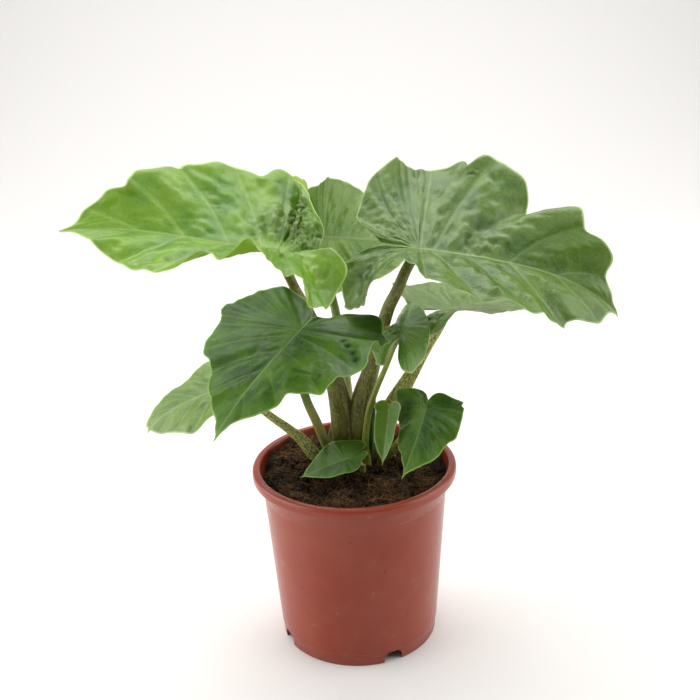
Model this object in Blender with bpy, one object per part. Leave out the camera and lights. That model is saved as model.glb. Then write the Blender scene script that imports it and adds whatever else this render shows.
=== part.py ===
"""Potted giant taro: a broad-leaved aroid house plant standing in a plastic nursery pot.

Metres, +Z up. The origin lies on the pot's axis, on the surface that the pot stands on. The
largest pale leaf points to -X, the leaf opposite it to +X, and the smallest one hangs over -Y.
"""

import math
from dataclasses import dataclass

import bmesh
import bpy
import numpy as np
from mathutils import Vector
from mathutils.bvhtree import BVHTree

MM = 0.001
GAP = 0.0004
SEAT_GAP = 0.0008

# Pot
POT_HEIGHT = 0.1746
POT_FOOT_RADIUS = 0.0744
POT_TAPER = 0.0735
POT_WALL = 0.0016
POT_SIDES = 48
RIM_RADIUS = 0.095
RIM_DEPTH = 0.0095
RIM_INNER_RADIUS = 0.0880
SHOULDER_HEIGHT = 0.1495
SHOULDER_STEP = 0.0008
SKIRT_HEIGHT = 0.0120
SKIRT_STEP = 0.0006
FLOOR_UNDERSIDE = 0.0118
FLOOR_TOP = 0.0136
NOTCH_WIDTH = 0.0195
NOTCH_HEIGHT = 0.0110
NOTCH_ANGLES = (-66.0, -156.0, 24.0, 114.0)

# Soil
SOIL_TOP = 0.1635
SOIL_EDGE = 0.1650
SOIL_LUMP = 0.0016
SOIL_RINGS = 9
HOLE_DEPTH = 0.014
STEM_STRAIGHT = 0.007

# Blades
BLADE_THICKNESS = 0.0008
RIB_DEPTH = 0.0022
QUILT_SHARE = 0.011
VEINS = 11
RUFFLE_WIDTH = 0.65
ROWS = (0.0, 0.05, 0.17, 0.34, 0.52, 0.70, 0.87, 1.0)

# Half of the blade's outline laid flat: vein number, forward share, sideways share.
# Forward shares count in blade lengths ahead of the stalk and in lobe lengths behind it.
OUTLINE = np.array(
    [
        (0.0, 1.000, 0.000),
        (0.35, 0.930, 0.028),
        (0.7, 0.885, 0.085),
        (1.0, 0.845, 0.160),
        (1.5, 0.775, 0.280),
        (2.0, 0.690, 0.400),
        (3.0, 0.500, 0.640),
        (4.0, 0.280, 0.840),
        (5.0, 0.030, 0.970),
        (6.0, -0.300, 1.000),
        (7.0, -0.640, 0.900),
        (8.0, -0.900, 0.680),
        (9.0, -1.000, 0.380),
        (9.6, -0.900, 0.200),
        (10.2, -0.620, 0.080),
        (11.0, -0.140, 0.000),
    ]
)

# Where each vein leaves the midrib, as a share of the blade's length.
VEIN_ROOTS = np.array(
    [(0, 1.0), (1, 0.72), (2, 0.52), (3, 0.34), (4, 0.18), (5, 0.05), (6, 0.0), (11, 0.0)]
)


@dataclass(frozen=True)
class Leaf:
    """A blade: sizes and places in mm, angles in degrees, pairs as (left, right).

    edge_left and edge_right hold the margin's ruffles as (vein, outward mm, upward mm).
    """

    name: str
    attach: tuple
    size: tuple
    sinus: float
    turn: tuple
    fold: tuple
    curl: tuple
    tip_fold: tuple
    lobe_fold: tuple
    lobe_curl: tuple
    lobe_bend: tuple
    droop: tuple
    twist: float
    sweep: float
    edge_left: tuple
    edge_right: tuple
    material: str
    columns: int = 22
    rows: tuple = ROWS


@dataclass(frozen=True)
class Stalk:
    """A leaf stalk: rows of (x, y, z, half width, half depth) in mm, foot first."""

    name: str
    foot: tuple
    path: tuple
    blade: str
    material: str
    sides: int = 10
    rings: int = 12


LEAVES = (
    Leaf(
        "blade_left",
        attach=(-57, -40, 391),
        size=(189, 112, 49),
        sinus=0.65,
        turn=(176, 10, 8),
        fold=(7, 23),
        curl=(-3, 1),
        tip_fold=(-6, 29),
        lobe_fold=(-24, 42),
        lobe_curl=(9, 3),
        lobe_bend=(-23, 50),
        droop=(-4, 24),
        twist=-29,
        sweep=-0.04,
        edge_left=(
            (1, 0, 3), (2, -4, -6), (3, -4, -7), (4, -3, 9), (5, 9, -1),
            (6, -2, -4), (7, -4, 13), (8, 2, -5), (9, 13, -7), (10, 2, 13),
        ),
        edge_right=(
            (1, 4, -2), (2, 0, 11), (3, 9, 2), (4, 4, 0), (5, 2, 10),
            (6, -1, -5), (7, 11, 5), (8, 15, 1), (9, 2, 8), (10, -7, -2),
        ),
        material="leaf_bright",
    ),
    Leaf(
        "blade_right",
        attach=(63, 7, 376),
        size=(192, 119, 65),
        sinus=0.47,
        turn=(-4, -9, 3),
        fold=(23, 12),
        curl=(-2, 1),
        tip_fold=(28, -5),
        lobe_fold=(26, -28),
        lobe_curl=(13, 10),
        lobe_bend=(23, -39),
        droop=(1, 42),
        twist=29,
        sweep=-0.05,
        edge_left=(
            (1, 4, -1), (2, 7, 13), (3, -6, -7), (4, 16, 6), (5, -3, -3),
            (6, -5, 2), (7, 4, 9), (8, 4, 2), (9, -6, -8), (10, -2, 8),
        ),
        edge_right=(
            (1, 10, 2), (2, 0, -9), (3, 2, 5), (4, -8, -5), (5, 3, -5),
            (6, -19, 7), (7, -9, 9), (8, -1, -2), (9, 15, -10), (10, 15, -7),
        ),
        material="leaf_grey",
    ),
    Leaf(
        "blade_front",
        attach=(-40, -62, 330),
        size=(138, 89, 36),
        sinus=0.46,
        turn=(-123, -16, 1),
        fold=(-1, -1),
        curl=(-9, -6),
        tip_fold=(2, 1),
        lobe_fold=(-12, 2),
        lobe_curl=(-11, -4),
        lobe_bend=(-3, 18),
        droop=(3, 17),
        twist=7,
        sweep=0.02,
        edge_left=((4, 4, 1), (5, -12, 10), (6, -14, -12), (9, 18, 3), (10, 0, -6)),
        edge_right=(
            (1, -2, -1), (2, -2, 1), (3, -6, -2), (4, 4, 1), (6, 3, 4), (8, 2, 2), (9, 2, 9), (10, 4, -6),
        ),
        material="leaf_deep",
    ),
    Leaf(
        "blade_low_left",
        attach=(-99, -16, 265),
        size=(98, 56, 40),
        sinus=0.14,
        turn=(189, -13, -5),
        fold=(9, 9),
        curl=(-7, -9),
        tip_fold=(-7, 4),
        lobe_fold=(0, 0),
        lobe_curl=(0, 0),
        lobe_bend=(0, 0),
        droop=(4, 41),
        twist=-14,
        sweep=0.03,
        edge_left=((1, 5, -3), (2, 3, -2), (3, 5, -5), (4, -1, 4)),
        edge_right=((1, 4, 1), (3, -2, -4)),
        material="leaf_pale",
        rows=(0.0, 0.07, 0.28, 0.52, 0.78, 1.0),
    ),
    Leaf(
        "blade_back",
        attach=(-21, 89, 367),
        size=(132, 60, 31),
        sinus=0.20,
        turn=(36, -13, 48),
        fold=(27, -14),
        curl=(12, -13),
        tip_fold=(6, 0),
        lobe_fold=(24, -17),
        lobe_curl=(7, -7),
        lobe_bend=(20, -1),
        droop=(-1, 15),
        twist=0,
        sweep=0.0,
        edge_left=((5, -2, 5), (6, -2, 7), (7, -6, 6), (9, 2, -1)),
        edge_right=((4, -6, -2), (5, -2, -1), (7, -2, 2)),
        material="leaf_fresh",
        rows=(0.0, 0.07, 0.28, 0.52, 0.78, 1.0),
    ),
    Leaf(
        "blade_right_back",
        attach=(94, 52, 304),
        size=(118, 67, 40),
        sinus=0.14,
        turn=(30, -4, -1),
        fold=(10, 14),
        curl=(-8, -5),
        tip_fold=(2, 1),
        lobe_fold=(20, 16),
        lobe_curl=(-5, -6),
        lobe_bend=(6, -52),
        droop=(-1, 15),
        twist=4,
        sweep=0.0,
        edge_left=((4, 0, 2), (9, -2, 2)),
        edge_right=((5, 0, -2), (6, 0, 3), (7, -2, 7), (8, 1, -2), (9, 3, -4)),
        material="leaf_pale",
        rows=(0.0, 0.07, 0.28, 0.52, 0.78, 1.0),
    ),
    Leaf(
        "blade_middle",
        attach=(45, -30, 311),
        size=(82, 29, 39),
        sinus=0.06,
        turn=(75, 9, 10),
        fold=(-10, -7),
        curl=(-54, -48),
        tip_fold=(-12, 5),
        lobe_fold=(-38, -19),
        lobe_curl=(-49, -47),
        lobe_bend=(-39, -32),
        droop=(6, 24),
        twist=-7,
        sweep=0.05,
        edge_left=((2, -2, -4), (3, -3, -5), (4, -4, -1), (5, 0, 3), (8, 1, 3), (9, -1, -2), (10, -4, 6)),
        edge_right=((4, 0, 1), (8, 3, 2), (9, 2, 2)),
        material="leaf_fresh",
        columns=22,
        rows=(0.0, 0.10, 0.38, 0.70, 1.0),
    ),
    Leaf(
        "blade_low_right",
        attach=(66, -30, 242),
        size=(70, 48, 16),
        sinus=0.31,
        turn=(-121, -54, 17),
        fold=(-3, -9),
        curl=(-9, -15),
        tip_fold=(-2, -2),
        lobe_fold=(-16, 2),
        lobe_curl=(-12, -8),
        lobe_bend=(-7, 9),
        droop=(-10, 1),
        twist=7,
        sweep=-0.01,
        edge_left=((1, 1, 0), (2, 2, -2), (5, -3, 3), (8, -3, -2)),
        edge_right=((1, -3, -1), (3, -1, -2), (4, -1, -3), (5, 1, 4), (9, 2, 6)),
        material="leaf_deep",
        columns=22,
        rows=(0.0, 0.10, 0.38, 0.70, 1.0),
    ),
    Leaf(
        "blade_young",
        attach=(33, -11, 229),
        size=(50, 14, 10),
        sinus=0.13,
        turn=(-110, -65, 7),
        fold=(21, 20),
        curl=(1, 0),
        tip_fold=(11, 10),
        lobe_fold=(10, 10),
        lobe_curl=(0, 0),
        lobe_bend=(0, 0),
        droop=(-2, 9),
        twist=1,
        sweep=-0.02,
        edge_left=((4, -1, 1),),
        edge_right=((2, 2, 0), (3, 2, 0), (5, -2, 0)),
        material="leaf_fresh",
        columns=11,
        rows=(0.0, 0.12, 0.55, 1.0),
    ),
    Leaf(
        "blade_seedling",
        attach=(-8, -14, 184),
        size=(46, 27, 26),
        sinus=0.13,
        turn=(-157, -11, -7),
        fold=(7, 8),
        curl=(-9, -8),
        tip_fold=(0, 0),
        lobe_fold=(7, 1),
        lobe_curl=(-8, -9),
        lobe_bend=(10, 4),
        droop=(-7, 13),
        twist=-1,
        sweep=-0.01,
        edge_left=((4, -1, 2), (10, 1, 3)),
        edge_right=((4, 1, 1), (5, 1, 2)),
        material="leaf_deep",
        columns=11,
        rows=(0.0, 0.12, 0.55, 1.0),
    ),
)

STALKS = (
    Stalk(
        "crown",
        foot=(-6, 31, 9, 9),
        path=(
            (-8, 29, 183, 10.5, 9), (-11, 26, 226, 10, 8), (-19, 18, 268, 7, 6), (-28, 8, 301, 5.5, 5),
            (-35, 0, 323, 4.8, 4.5), (-45, -10, 347, 4.4, 4.2),
        ),
        blade="blade_left",
        material="stalk_olive",
        sides=12,
        rings=14,
    ),
    Stalk(
        "crown_right_fork",
        foot=(5, 31, 9, 9),
        path=(
            (4, 29, 183, 10, 9), (10, 24, 226, 10.5, 8), (18, 20, 256, 8, 6.5), (26, 14, 286, 6.6, 5.6),
            (35, 3, 322, 5.8, 5), (44, -4, 343, 5.2, 4.8), (51, -1, 358, 4.8, 4.6),
        ),
        blade="blade_right",
        material="stalk_olive",
        sides=12,
        rings=14,
    ),
    Stalk(
        "stalk_front",
        foot=(-22, 29, 5, 5),
        path=(
            (-26, 23, 183, 4.8, 4.6), (-34, 6, 215, 4.4, 4.2), (-41, -8, 242, 4, 4),
            (-45, -26, 274, 3.8, 3.8), (-44, -45, 305, 3.6, 3.6),
        ),
        blade="blade_front",
        material="stalk_green",
    ),
    Stalk(
        "stalk_low_left",
        foot=(-27, 14, 5, 4.5),
        path=(
            (-37, 11, 177, 6, 4.2), (-47, 7, 194, 5.5, 4), (-58, 2, 208, 4.4, 3.6), (-78, -5, 229, 3.6, 3.3),
            (-90, -11, 245, 3.2, 3.0),
        ),
        blade="blade_low_left",
        material="stalk_mottled",
    ),
    Stalk(
        "stalk_back",
        foot=(2, 52, 5.5, 5),
        path=(
            (-2, 55, 183, 5.2, 5), (-4, 60, 222, 4.8, 4.6), (-8, 69, 265, 4.4, 4.2), (-12, 75, 294, 4.2, 4),
            (-18, 82, 327, 3.8, 3.8),
        ),
        blade="blade_back",
        material="stalk_green",
    ),
    Stalk(
        "stalk_right_back",
        foot=(23, 36, 6.5, 5.5),
        path=(
            (27, 36, 179, 7, 5.4), (37, 38, 208, 9, 5), (51, 42, 232, 7.5, 4.5), (72, 47, 265, 4.2, 4),
            (85, 50, 286, 4, 3.8),
        ),
        blade="blade_right_back",
        material="stalk_mottled",
    ),
    Stalk(
        "stalk_middle",
        foot=(13, 14, 3.4, 3.2),
        path=(
            (11, 12, 185, 3.2, 3), (15, 5, 221, 3, 2.9), (22, -4, 247, 2.7, 2.7), (32, -16, 276, 2.4, 2.4),
            (39, -24, 297, 2.2, 2.2),
        ),
        blade="blade_middle",
        material="stalk_green",
        sides=8,
    ),
    Stalk(
        "stalk_low_right",
        foot=(35, 22, 5, 4.5),
        path=((39, 17, 178, 4.4, 4), (48, 3, 199, 3.4, 3.2), (58, -14, 224, 2.6, 2.5)),
        blade="blade_low_right",
        material="stalk_mottled",
        sides=8,
        rings=9,
    ),
    Stalk(
        "stalk_young",
        foot=(25, 19, 2.6, 2.6),
        path=((26, 16, 179, 2.4, 2.4), (30, 7, 199, 2, 2), (33, -2, 217, 1.8, 1.8)),
        blade="blade_young",
        material="stalk_green",
        sides=8,
        rings=8,
    ),
    Stalk(
        "stalk_seedling",
        foot=(8, -1, 2.6, 2.6),
        path=((5, -6, 175, 2.2, 2.2),),
        blade="blade_seedling",
        material="stalk_green",
        sides=8,
        rings=5,
    ),
    Stalk(
        "rolled_leaf",
        foot=(15, 25, 2.6, 2.6),
        path=((16, 22, 185, 3.2, 2.8), (19, 17, 212, 2.6, 2.4), (22, 15, 232, 0.5, 0.5)),
        blade="",
        material="leaf_deep",
        sides=8,
        rings=9,
    ),
    Stalk(
        "dry_sheath",
        foot=(-21, 42, 2.4, 1.8),
        path=((-22, 42, 181, 2.2, 1.5), (-20, 43, 196, 0.5, 0.5)),
        blade="",
        material="sheath_dry",
        sides=8,
        rings=6,
    ),
)

# name: colour, roughness
MATERIALS = {
    "pot_plastic": ((0.300, 0.072, 0.040), 0.42),
    "soil": ((0.030, 0.018, 0.010), 0.95),
    "leaf_bright": ((0.150, 0.330, 0.030), 0.38),
    "leaf_grey": ((0.095, 0.210, 0.055), 0.33),
    "leaf_deep": ((0.040, 0.135, 0.018), 0.36),
    "leaf_pale": ((0.170, 0.300, 0.090), 0.38),
    "leaf_fresh": ((0.110, 0.290, 0.035), 0.38),
    "stalk_olive": ((0.110, 0.105, 0.030), 0.50),
    "stalk_green": ((0.130, 0.200, 0.035), 0.50),
    "stalk_mottled": ((0.240, 0.270, 0.070), 0.50),
    "sheath_dry": ((0.150, 0.120, 0.050), 0.70),
}


def clear_scene():
    for obj in list(bpy.data.objects):
        bpy.data.objects.remove(obj, do_unlink=True)


def material(name):
    """The named Principled material, made on first use."""
    found = bpy.data.materials.get(name)
    if found:
        return found
    colour, roughness = MATERIALS[name]
    made = bpy.data.materials.new(name)
    made.use_nodes = True
    shader = made.node_tree.nodes["Principled BSDF"]
    shader.inputs["Base Color"].default_value = (*colour, 1.0)
    shader.inputs["Roughness"].default_value = roughness
    shader.inputs["Metallic"].default_value = 0.0
    return made


def object_from_bmesh(name, bm, material_name):
    mesh = bpy.data.meshes.new(name)
    bm.to_mesh(mesh)
    bm.free()
    mesh.materials.append(material(material_name))
    obj = bpy.data.objects.new(name, mesh)
    bpy.context.scene.collection.objects.link(obj)
    mesh.shade_smooth()
    return obj


def make_cutter(obj):
    obj.hide_render = True
    obj.display_type = "WIRE"


def cutter_collection(name, cutters):
    collection = bpy.data.collections.new(name)
    collection.hide_render = True
    bpy.context.scene.collection.children.link(collection)
    for cutter in cutters:
        bpy.context.scene.collection.objects.unlink(cutter)
        collection.objects.link(cutter)
        make_cutter(cutter)
    return collection


def cut(obj, collection):
    modifier = obj.modifiers.new("Cut", "BOOLEAN")
    modifier.operation = "DIFFERENCE"
    modifier.operand_type = "COLLECTION"
    modifier.collection = collection
    modifier.solver = "EXACT"


def smoothstep(share):
    share = np.clip(share, 0.0, 1.0)
    return share * share * (3.0 - 2.0 * share)


def hermite(at, table):
    """Smooth interpolation through a table whose first column is the position."""
    knots, values = table[:, 0], table[:, 1:]
    slopes = np.empty_like(values)
    slopes[1:-1] = (values[2:] - values[:-2]) / (knots[2:] - knots[:-2])[:, None]
    slopes[0] = (values[1] - values[0]) / (knots[1] - knots[0])
    slopes[-1] = (values[-1] - values[-2]) / (knots[-1] - knots[-2])
    i = np.clip(np.searchsorted(knots, at, side="right") - 1, 0, len(knots) - 2)
    width = (knots[i + 1] - knots[i])[..., None]
    s = (at - knots[i])[..., None] / width
    return (
        (2 * s**3 - 3 * s**2 + 1) * values[i]
        + (s**3 - 2 * s**2 + s) * width * slopes[i]
        + (3 * s**2 - 2 * s**3) * values[i + 1]
        + (s**3 - s**2) * width * slopes[i + 1]
    )


def pot_radius(height):
    return POT_FOOT_RADIUS + POT_TAPER * height


def turned(name, profile, sides, material_name):
    """A closed solid turned about Z from a profile that starts and ends on the axis."""
    bm = bmesh.new()
    points = [bm.verts.new((radius, 0.0, height)) for radius, height in profile]
    edges = [bm.edges.new(pair) for pair in zip(points[:-1], points[1:])]
    bmesh.ops.spin(
        bm,
        geom=points + edges,
        cent=(0, 0, 0),
        axis=(0, 0, 1),
        angle=2 * math.pi,
        steps=sides,
        use_merge=True,
    )
    bmesh.ops.remove_doubles(bm, verts=bm.verts, dist=1e-6)
    bmesh.ops.recalc_face_normals(bm, faces=bm.faces)
    return object_from_bmesh(name, bm, material_name)


def build_pot():
    """Tapered pot with a rolled rim, a stacking shoulder, and a notched skirt under its floor."""
    skirt_radius = pot_radius(SKIRT_HEIGHT) - SKIRT_STEP
    rim_under = POT_HEIGHT - RIM_DEPTH
    profile = (
        (0.0, FLOOR_UNDERSIDE),
        (skirt_radius - POT_WALL, FLOOR_UNDERSIDE),
        (POT_FOOT_RADIUS - SKIRT_STEP - POT_WALL, 0.0),
        (POT_FOOT_RADIUS - SKIRT_STEP - 0.0004, 0.0),
        (POT_FOOT_RADIUS - SKIRT_STEP, 0.0005),
        (skirt_radius, SKIRT_HEIGHT),
        (pot_radius(SKIRT_HEIGHT), SKIRT_HEIGHT + 0.0005),
        (pot_radius(0.08), 0.08),
        (pot_radius(SHOULDER_HEIGHT), SHOULDER_HEIGHT),
        (pot_radius(SHOULDER_HEIGHT) + SHOULDER_STEP, SHOULDER_HEIGHT + 0.001),
        (pot_radius(rim_under) + SHOULDER_STEP, rim_under),
        (RIM_RADIUS - 0.0008, rim_under),
        (RIM_RADIUS - 0.0001, rim_under + 0.0008),
        (RIM_RADIUS, rim_under + 0.0045),
        (RIM_RADIUS - 0.0004, POT_HEIGHT - 0.0018),
        (RIM_RADIUS - 0.0018, POT_HEIGHT - 0.0004),
        (RIM_RADIUS - 0.0035, POT_HEIGHT),
        (RIM_INNER_RADIUS + 0.0012, POT_HEIGHT),
        (RIM_INNER_RADIUS + 0.0002, POT_HEIGHT - 0.0006),
        (RIM_INNER_RADIUS - 0.0006, POT_HEIGHT - 0.0022),
        (pot_radius(0.160) - POT_WALL, 0.160),
        (pot_radius(FLOOR_TOP) - POT_WALL, FLOOR_TOP),
        (0.0, FLOOR_TOP),
    )
    pot = turned("pot", profile, POT_SIDES, "pot_plastic")
    cutters = []
    for angle in NOTCH_ANGLES:
        bm = bmesh.new()
        bmesh.ops.create_cube(bm, size=1.0)
        bmesh.ops.scale(bm, vec=(0.03, NOTCH_WIDTH, 2 * NOTCH_HEIGHT), verts=bm.verts)
        narrow = [v for v in bm.verts if v.co.z > 0]
        bmesh.ops.scale(bm, vec=(1.0, 0.86, 1.0), verts=narrow)
        bmesh.ops.translate(bm, vec=(POT_FOOT_RADIUS, 0, 0), verts=bm.verts)
        cutter = object_from_bmesh(f"notch_cutter_{len(cutters)}", bm, "pot_plastic")
        cutter.rotation_euler.z = math.radians(angle)
        cutters.append(cutter)
    cut(pot, cutter_collection("Notch cutters", cutters))
    pot.data.set_sharp_from_angle(angle=math.radians(35))
    return pot


def soil_height(x, y):
    """Uneven soil surface: a few crossed waves, raised a little towards the wall and the back left."""
    rng = np.random.default_rng(7)
    height = np.zeros_like(x)
    for _ in range(14):
        heading = rng.uniform(0, 2 * math.pi)
        wave = rng.uniform(90, 330)
        phase = rng.uniform(0, 2 * math.pi)
        height += np.sin(wave * (x * math.cos(heading) + y * math.sin(heading)) + phase) / 14**0.5
    radius = np.hypot(x, y)
    bank = smoothstep((radius - 0.045) / 0.04)
    heap = 0.004 * np.exp(-((x + 0.05) ** 2 + (y - 0.035) ** 2) / 0.03**2)
    calm = smoothstep((np.hypot(x - 0.005, y - 0.025) - 0.03) / 0.02)
    return SOIL_TOP + bank * (SOIL_EDGE - SOIL_TOP) + calm * heap + SOIL_LUMP * height * (0.35 + 0.65 * calm)


def build_soil():
    """The soil body that fills the pot, with a plain hole for each stem."""
    bm = bmesh.new()
    bottom = FLOOR_TOP + GAP
    inner = pot_radius(bottom) - POT_WALL - GAP
    outer = pot_radius(SOIL_EDGE) - POT_WALL - GAP
    angles = np.arange(POT_SIDES) * 2 * math.pi / POT_SIDES
    rings = []
    for ring in range(1, SOIL_RINGS + 1):
        radius = outer * ring / SOIL_RINGS
        x, y = radius * np.cos(angles), radius * np.sin(angles)
        z = soil_height(x, y) if ring < SOIL_RINGS else np.full_like(x, SOIL_EDGE)
        rings.append([bm.verts.new(point) for point in zip(x, y, z)])
    floor = [bm.verts.new((inner * math.cos(a), inner * math.sin(a), bottom)) for a in angles]
    rings.append(floor)
    centre = bm.verts.new((0, 0, float(soil_height(np.zeros(1), np.zeros(1))[0])))
    base = bm.verts.new((0, 0, bottom))
    for i in range(POT_SIDES):
        j = (i + 1) % POT_SIDES
        bm.faces.new((centre, rings[0][i], rings[0][j]))
        bm.faces.new((base, floor[j], floor[i]))
        for low, high in zip(rings[:-1], rings[1:]):
            bm.faces.new((low[i], high[i], high[j], low[j]))
    bmesh.ops.triangulate(bm, faces=bm.faces)
    bmesh.ops.recalc_face_normals(bm, faces=bm.faces)
    soil = object_from_bmesh("soil", bm, "soil")
    cutters = [
        foot_prism(f"hole_{stalk.name}", stalk, GAP, SOIL_TOP + 0.03) for stalk in STALKS
    ]
    cut(soil, cutter_collection("Stem holes", cutters))
    return soil


def foot_ring(stalk, height, grow=0.0):
    x, y, wide, deep = (value * MM for value in stalk.foot)
    angles = np.arange(stalk.sides) * 2 * math.pi / stalk.sides
    return [
        Vector((x + (wide + grow) * math.cos(a), y + (deep + grow) * math.sin(a), height))
        for a in angles
    ]


def foot_prism(name, stalk, grow, top):
    """The straight foot of a stalk, grown by a clearance, as a cutter."""
    bm = bmesh.new()
    low = [bm.verts.new(p) for p in foot_ring(stalk, SOIL_TOP - HOLE_DEPTH - grow, grow)]
    high = [bm.verts.new(p) for p in foot_ring(stalk, top, grow)]
    bm.faces.new(low[::-1])
    bm.faces.new(high)
    for i in range(stalk.sides):
        j = (i + 1) % stalk.sides
        bm.faces.new((low[i], low[j], high[j], high[i]))
    return object_from_bmesh(name, bm, "soil")


def ruffle(waves, column, vein):
    """Sum of the margin's ruffles at a vein position, fading out at the sinus."""
    total = np.zeros_like(vein)
    for wave in waves:
        total += wave[column] * MM * np.exp(-(((vein - wave[0]) / RUFFLE_WIDTH) ** 2))
    return total * smoothstep((VEINS - vein) / 0.7)


def flat_point(leaf, vein, share, side):
    """Flat place of a point on a vein, where share runs from the midrib (0) to the margin (1)."""
    length, half_width, lobe = (value * MM for value in leaf.size)
    waves = leaf.edge_left if side > 0 else leaf.edge_right
    edge = hermite(vein, OUTLINE)
    forward = edge[..., 0] - (leaf.sinus - 0.14) * np.clip((vein - 9.2) / 1.8, 0, 1) ** 2
    forward = forward * np.where(forward > 0, length, lobe)
    sideways = edge[..., 1] * half_width
    root = np.where(vein >= 6, 0.0, hermite(vein, VEIN_ROOTS)[..., 0] * length)
    behind = np.clip((vein - 5) / 2, 0, 1)
    knee_x = (root + 0.34 * (forward - root)) * (1 - behind) + 0.5 * forward * behind
    knee_y = sideways * (0.58 * (1 - behind) + 0.5 * behind)
    x = (1 - share) ** 2 * root + 2 * share * (1 - share) * knee_x + share**2 * forward
    y = 2 * share * (1 - share) * knee_y + share**2 * sideways
    span = np.hypot(forward - root, sideways) + 1e-6
    push = ruffle(waves, 1, vein) / span * share**2
    x = x + (forward - root) * push
    y = y + sideways * push
    lift = ruffle(waves, 2, vein) * share**1.6 * np.clip(span / 0.03, 0, 1)
    quilt = QUILT_SHARE * length * np.sin(math.pi * vein) ** 2
    lift = lift + quilt * share**0.8 * (1.2 - share) * np.clip(span / 0.03, 0, 1)
    return x, side * y, lift


def turn_matrix(heading, pitch, roll):
    ch, sh = math.cos(heading), math.sin(heading)
    cp, sp = math.cos(pitch), math.sin(pitch)
    cr, sr = math.cos(roll), math.sin(roll)
    about_z = np.array([[ch, -sh, 0], [sh, ch, 0], [0, 0, 1]])
    about_y = np.array([[cp, 0, -sp], [0, 1, 0], [sp, 0, cp]])
    about_x = np.array([[1, 0, 0], [0, cr, -sr], [0, sr, cr]])
    return about_z @ about_y @ about_x


def blade_point(leaf, vein, share, side):
    """World places of points on the blade's upper surface."""
    length, half_width, lobe = (value * MM for value in leaf.size)
    pick = 0 if side > 0 else 1
    x, y, lift = flat_point(leaf, vein, share, side)
    behind = smoothstep(-x / lobe)
    ahead = smoothstep(x / length)
    fold = math.radians(leaf.fold[pick]) * (1 - behind) + math.radians(leaf.lobe_fold[pick]) * behind
    fold = fold * (1 - ahead) + math.radians(leaf.tip_fold[pick]) * ahead
    curl = math.radians(leaf.curl[pick]) * (1 - behind) + math.radians(leaf.lobe_curl[pick]) * behind
    across = np.abs(y)
    steps = (np.arange(9) + 0.5) / 9
    angle = fold[..., None] + curl[..., None] * steps * across[..., None] / half_width
    last = fold + curl * across / half_width
    wide = across * np.cos(angle).mean(-1) - lift * np.sin(last)
    high = across * np.sin(angle).mean(-1) + lift * np.cos(last)
    wide = side * wide
    twist = math.radians(leaf.twist) * x / length
    wide, high = wide * np.cos(twist) - high * np.sin(twist), wide * np.sin(twist) + high * np.cos(twist)

    start, end = (math.radians(value) for value in leaf.droop)
    front = np.maximum(x, 0)
    rear = np.maximum(-x, 0)
    dip = -(start * steps * front[..., None] / length + end * (steps * front[..., None] / length) ** 3)
    dip_end = -(start * front / length + end * (front / length) ** 3)
    bends = [math.radians(value) for value in leaf.lobe_bend]
    middle = sum(bends) / 2
    bend = middle + (bends[pick] - middle) * smoothstep(across / (0.4 * half_width))
    rise = bend[..., None] * smoothstep(steps * rear[..., None] / lobe - 0.1)
    rise_end = bend * smoothstep(rear / lobe - 0.1)
    ahead_of_stalk = x >= 0
    slope = np.where(ahead_of_stalk, dip_end, -rise_end)
    along = np.where(ahead_of_stalk, front * np.cos(dip).mean(-1), -rear * np.cos(rise).mean(-1))
    up = np.where(ahead_of_stalk, front * np.sin(dip).mean(-1), rear * np.sin(rise).mean(-1))
    place = np.stack(
        [
            along - high * np.sin(slope),
            wide + leaf.sweep * length * (front / length) ** 2,
            up + high * np.cos(slope),
        ],
        -1,
    )
    turn = turn_matrix(*(math.radians(value) for value in leaf.turn))
    return place @ turn.T + np.array(leaf.attach) * MM


def build_blade(leaf):
    """A leaf blade: a triangulated sheet thickened downwards, thicker along the midrib."""
    veins = np.linspace(0, VEINS, leaf.columns + 1)
    shares = np.array(leaf.rows)
    grid_vein, grid_share = np.meshgrid(veins, shares, indexing="ij")
    bm = bmesh.new()
    rib = bm.verts.layers.deform.verify()
    for side in (1, -1):
        places = blade_point(leaf, grid_vein, grid_share, side)
        verts = [[bm.verts.new(place) for place in column] for column in places]
        for i, column in enumerate(verts):
            for j, vert in enumerate(column):
                near = math.exp(-((shares[j] / 0.06) ** 2)) if veins[i] < 6.5 else 0.0
                stout = math.sqrt(max(0.0, 1 - hermite(veins[i : i + 1], VEIN_ROOTS)[0, 0]))
                extra = RIB_DEPTH * near * stout * leaf.size[0] / 190
                vert[rib][0] = (BLADE_THICKNESS + extra) / (BLADE_THICKNESS + RIB_DEPTH)
        for i in range(len(veins) - 1):
            for j in range(len(shares) - 1):
                corners = (verts[i][j], verts[i + 1][j], verts[i + 1][j + 1], verts[i][j + 1])
                first = (corners[0], corners[2], corners[1])
                second = (corners[0], corners[3], corners[2])
                for face in (first, second):
                    bm.faces.new(face if side > 0 else face[::-1])
    bmesh.ops.remove_doubles(bm, verts=bm.verts, dist=2e-6)
    bmesh.ops.dissolve_degenerate(bm, edges=bm.edges, dist=2e-6)
    blade = object_from_bmesh(leaf.name, bm, leaf.material)
    blade.vertex_groups.new(name="rib")
    thicken = blade.modifiers.new("Thickness", "SOLIDIFY")
    thicken.thickness = BLADE_THICKNESS + RIB_DEPTH
    thicken.offset = -1.0
    thicken.use_even_offset = False
    thicken.vertex_group = "rib"
    return blade


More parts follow.
